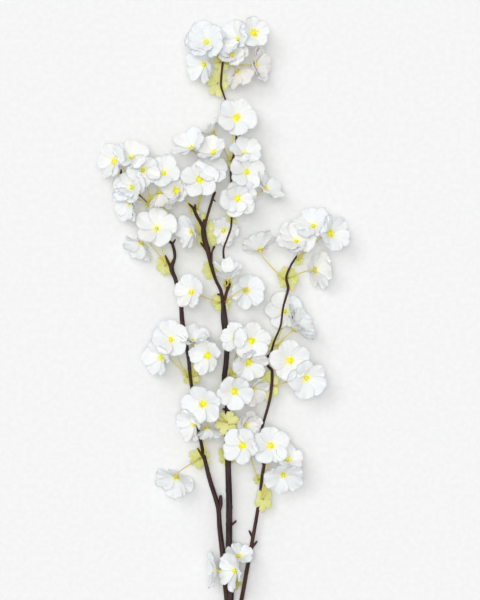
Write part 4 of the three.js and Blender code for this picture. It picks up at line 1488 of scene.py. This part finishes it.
@dataclass
class Studio:
    """A plain pale floor, soft light from above and the upper left, and the camera."""

    centre: tuple[float, float] = (0.0203, 0.0472)
    view_height: float = 0.72
    focus_height: float = 0.025
    distance: float = 3.0
    sensor: float = 36.0
    far: float = 20.0
    sky: float = 0.46
    floor_half: float = 4.0

    def floor(self) -> None:
        """Lays the floor."""
        mesh = bpy.data.meshes.new("floor")
        square = ((-1, -1), (1, -1), (1, 1), (-1, 1))
        corners = [(x * self.floor_half, y * self.floor_half, 0) for x, y in square]
        mesh.from_pydata(corners, [], [(0, 1, 2, 3)])
        mesh.materials.append(FloorPaint().material())
        shown("floor", mesh)

    def lamp(self, name: str, energy: float, width: float, way: tuple[float, float, float]) -> None:
        """Adds one broad, far lamp.

        Args:
            name: Name of the lamp.
            energy: Its strength.
            width: How wide it looks, in degrees; a wide lamp throws soft shadows.
            way: The way that its light goes.
        """
        data = bpy.data.lights.new(name, "SUN")
        data.energy = energy
        data.angle = math.radians(width)
        light = shown(name, data)
        light.rotation_mode = "QUATERNION"
        light.rotation_quaternion = Vector(way).to_track_quat("-Z", "Y")

    def light(self) -> None:
        """Adds a soft sky, a broad lamp overhead and one from the upper left."""
        scene = bpy.context.scene
        scene.view_settings.view_transform = "Standard"
        scene.world = bpy.data.worlds.new("sky")
        scene.world.use_nodes = True
        background = scene.world.node_tree.nodes["Background"]
        background.inputs["Color"].default_value = (1.0, 1.0, 1.0, 1)
        background.inputs["Strength"].default_value = self.sky
        self.lamp("overhead", energy=1.19, width=24.0, way=(0.02, -0.02, -1.0))
        self.lamp("upper_left", energy=0.68, width=30.0, way=(0.45, -0.38, -1.0))

    def camera(self) -> None:
        """Places the camera straight above the spray."""
        data = bpy.data.cameras.new("camera")
        data.sensor_width = self.sensor
        data.lens = self.sensor * (self.distance - self.focus_height) / self.view_height
        data.clip_end = self.far
        camera = shown("camera", data)
        camera.location = (*self.centre, self.distance)
        bpy.context.scene.camera = camera

    def build(self) -> None:
        """Sets up the whole studio."""
        self.floor()
        self.light()
        self.camera()


def main() -> None:
    """Builds the studio and every piece of the spray in order."""
    logging.basicConfig(level=logging.INFO, format="%(name)s: %(message)s")
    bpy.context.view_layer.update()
    Studio().build()
    finishes = Finishes.mixed()
    Wood().build(finishes)
    for number, name in enumerate(LEAVES):
        Leaf(name, number).build(finishes)
    for name in dict.fromkeys(row[1] for row in FLOWERS):
        Bunch(name).build(finishes)


if __name__ == "__main__":
    main()
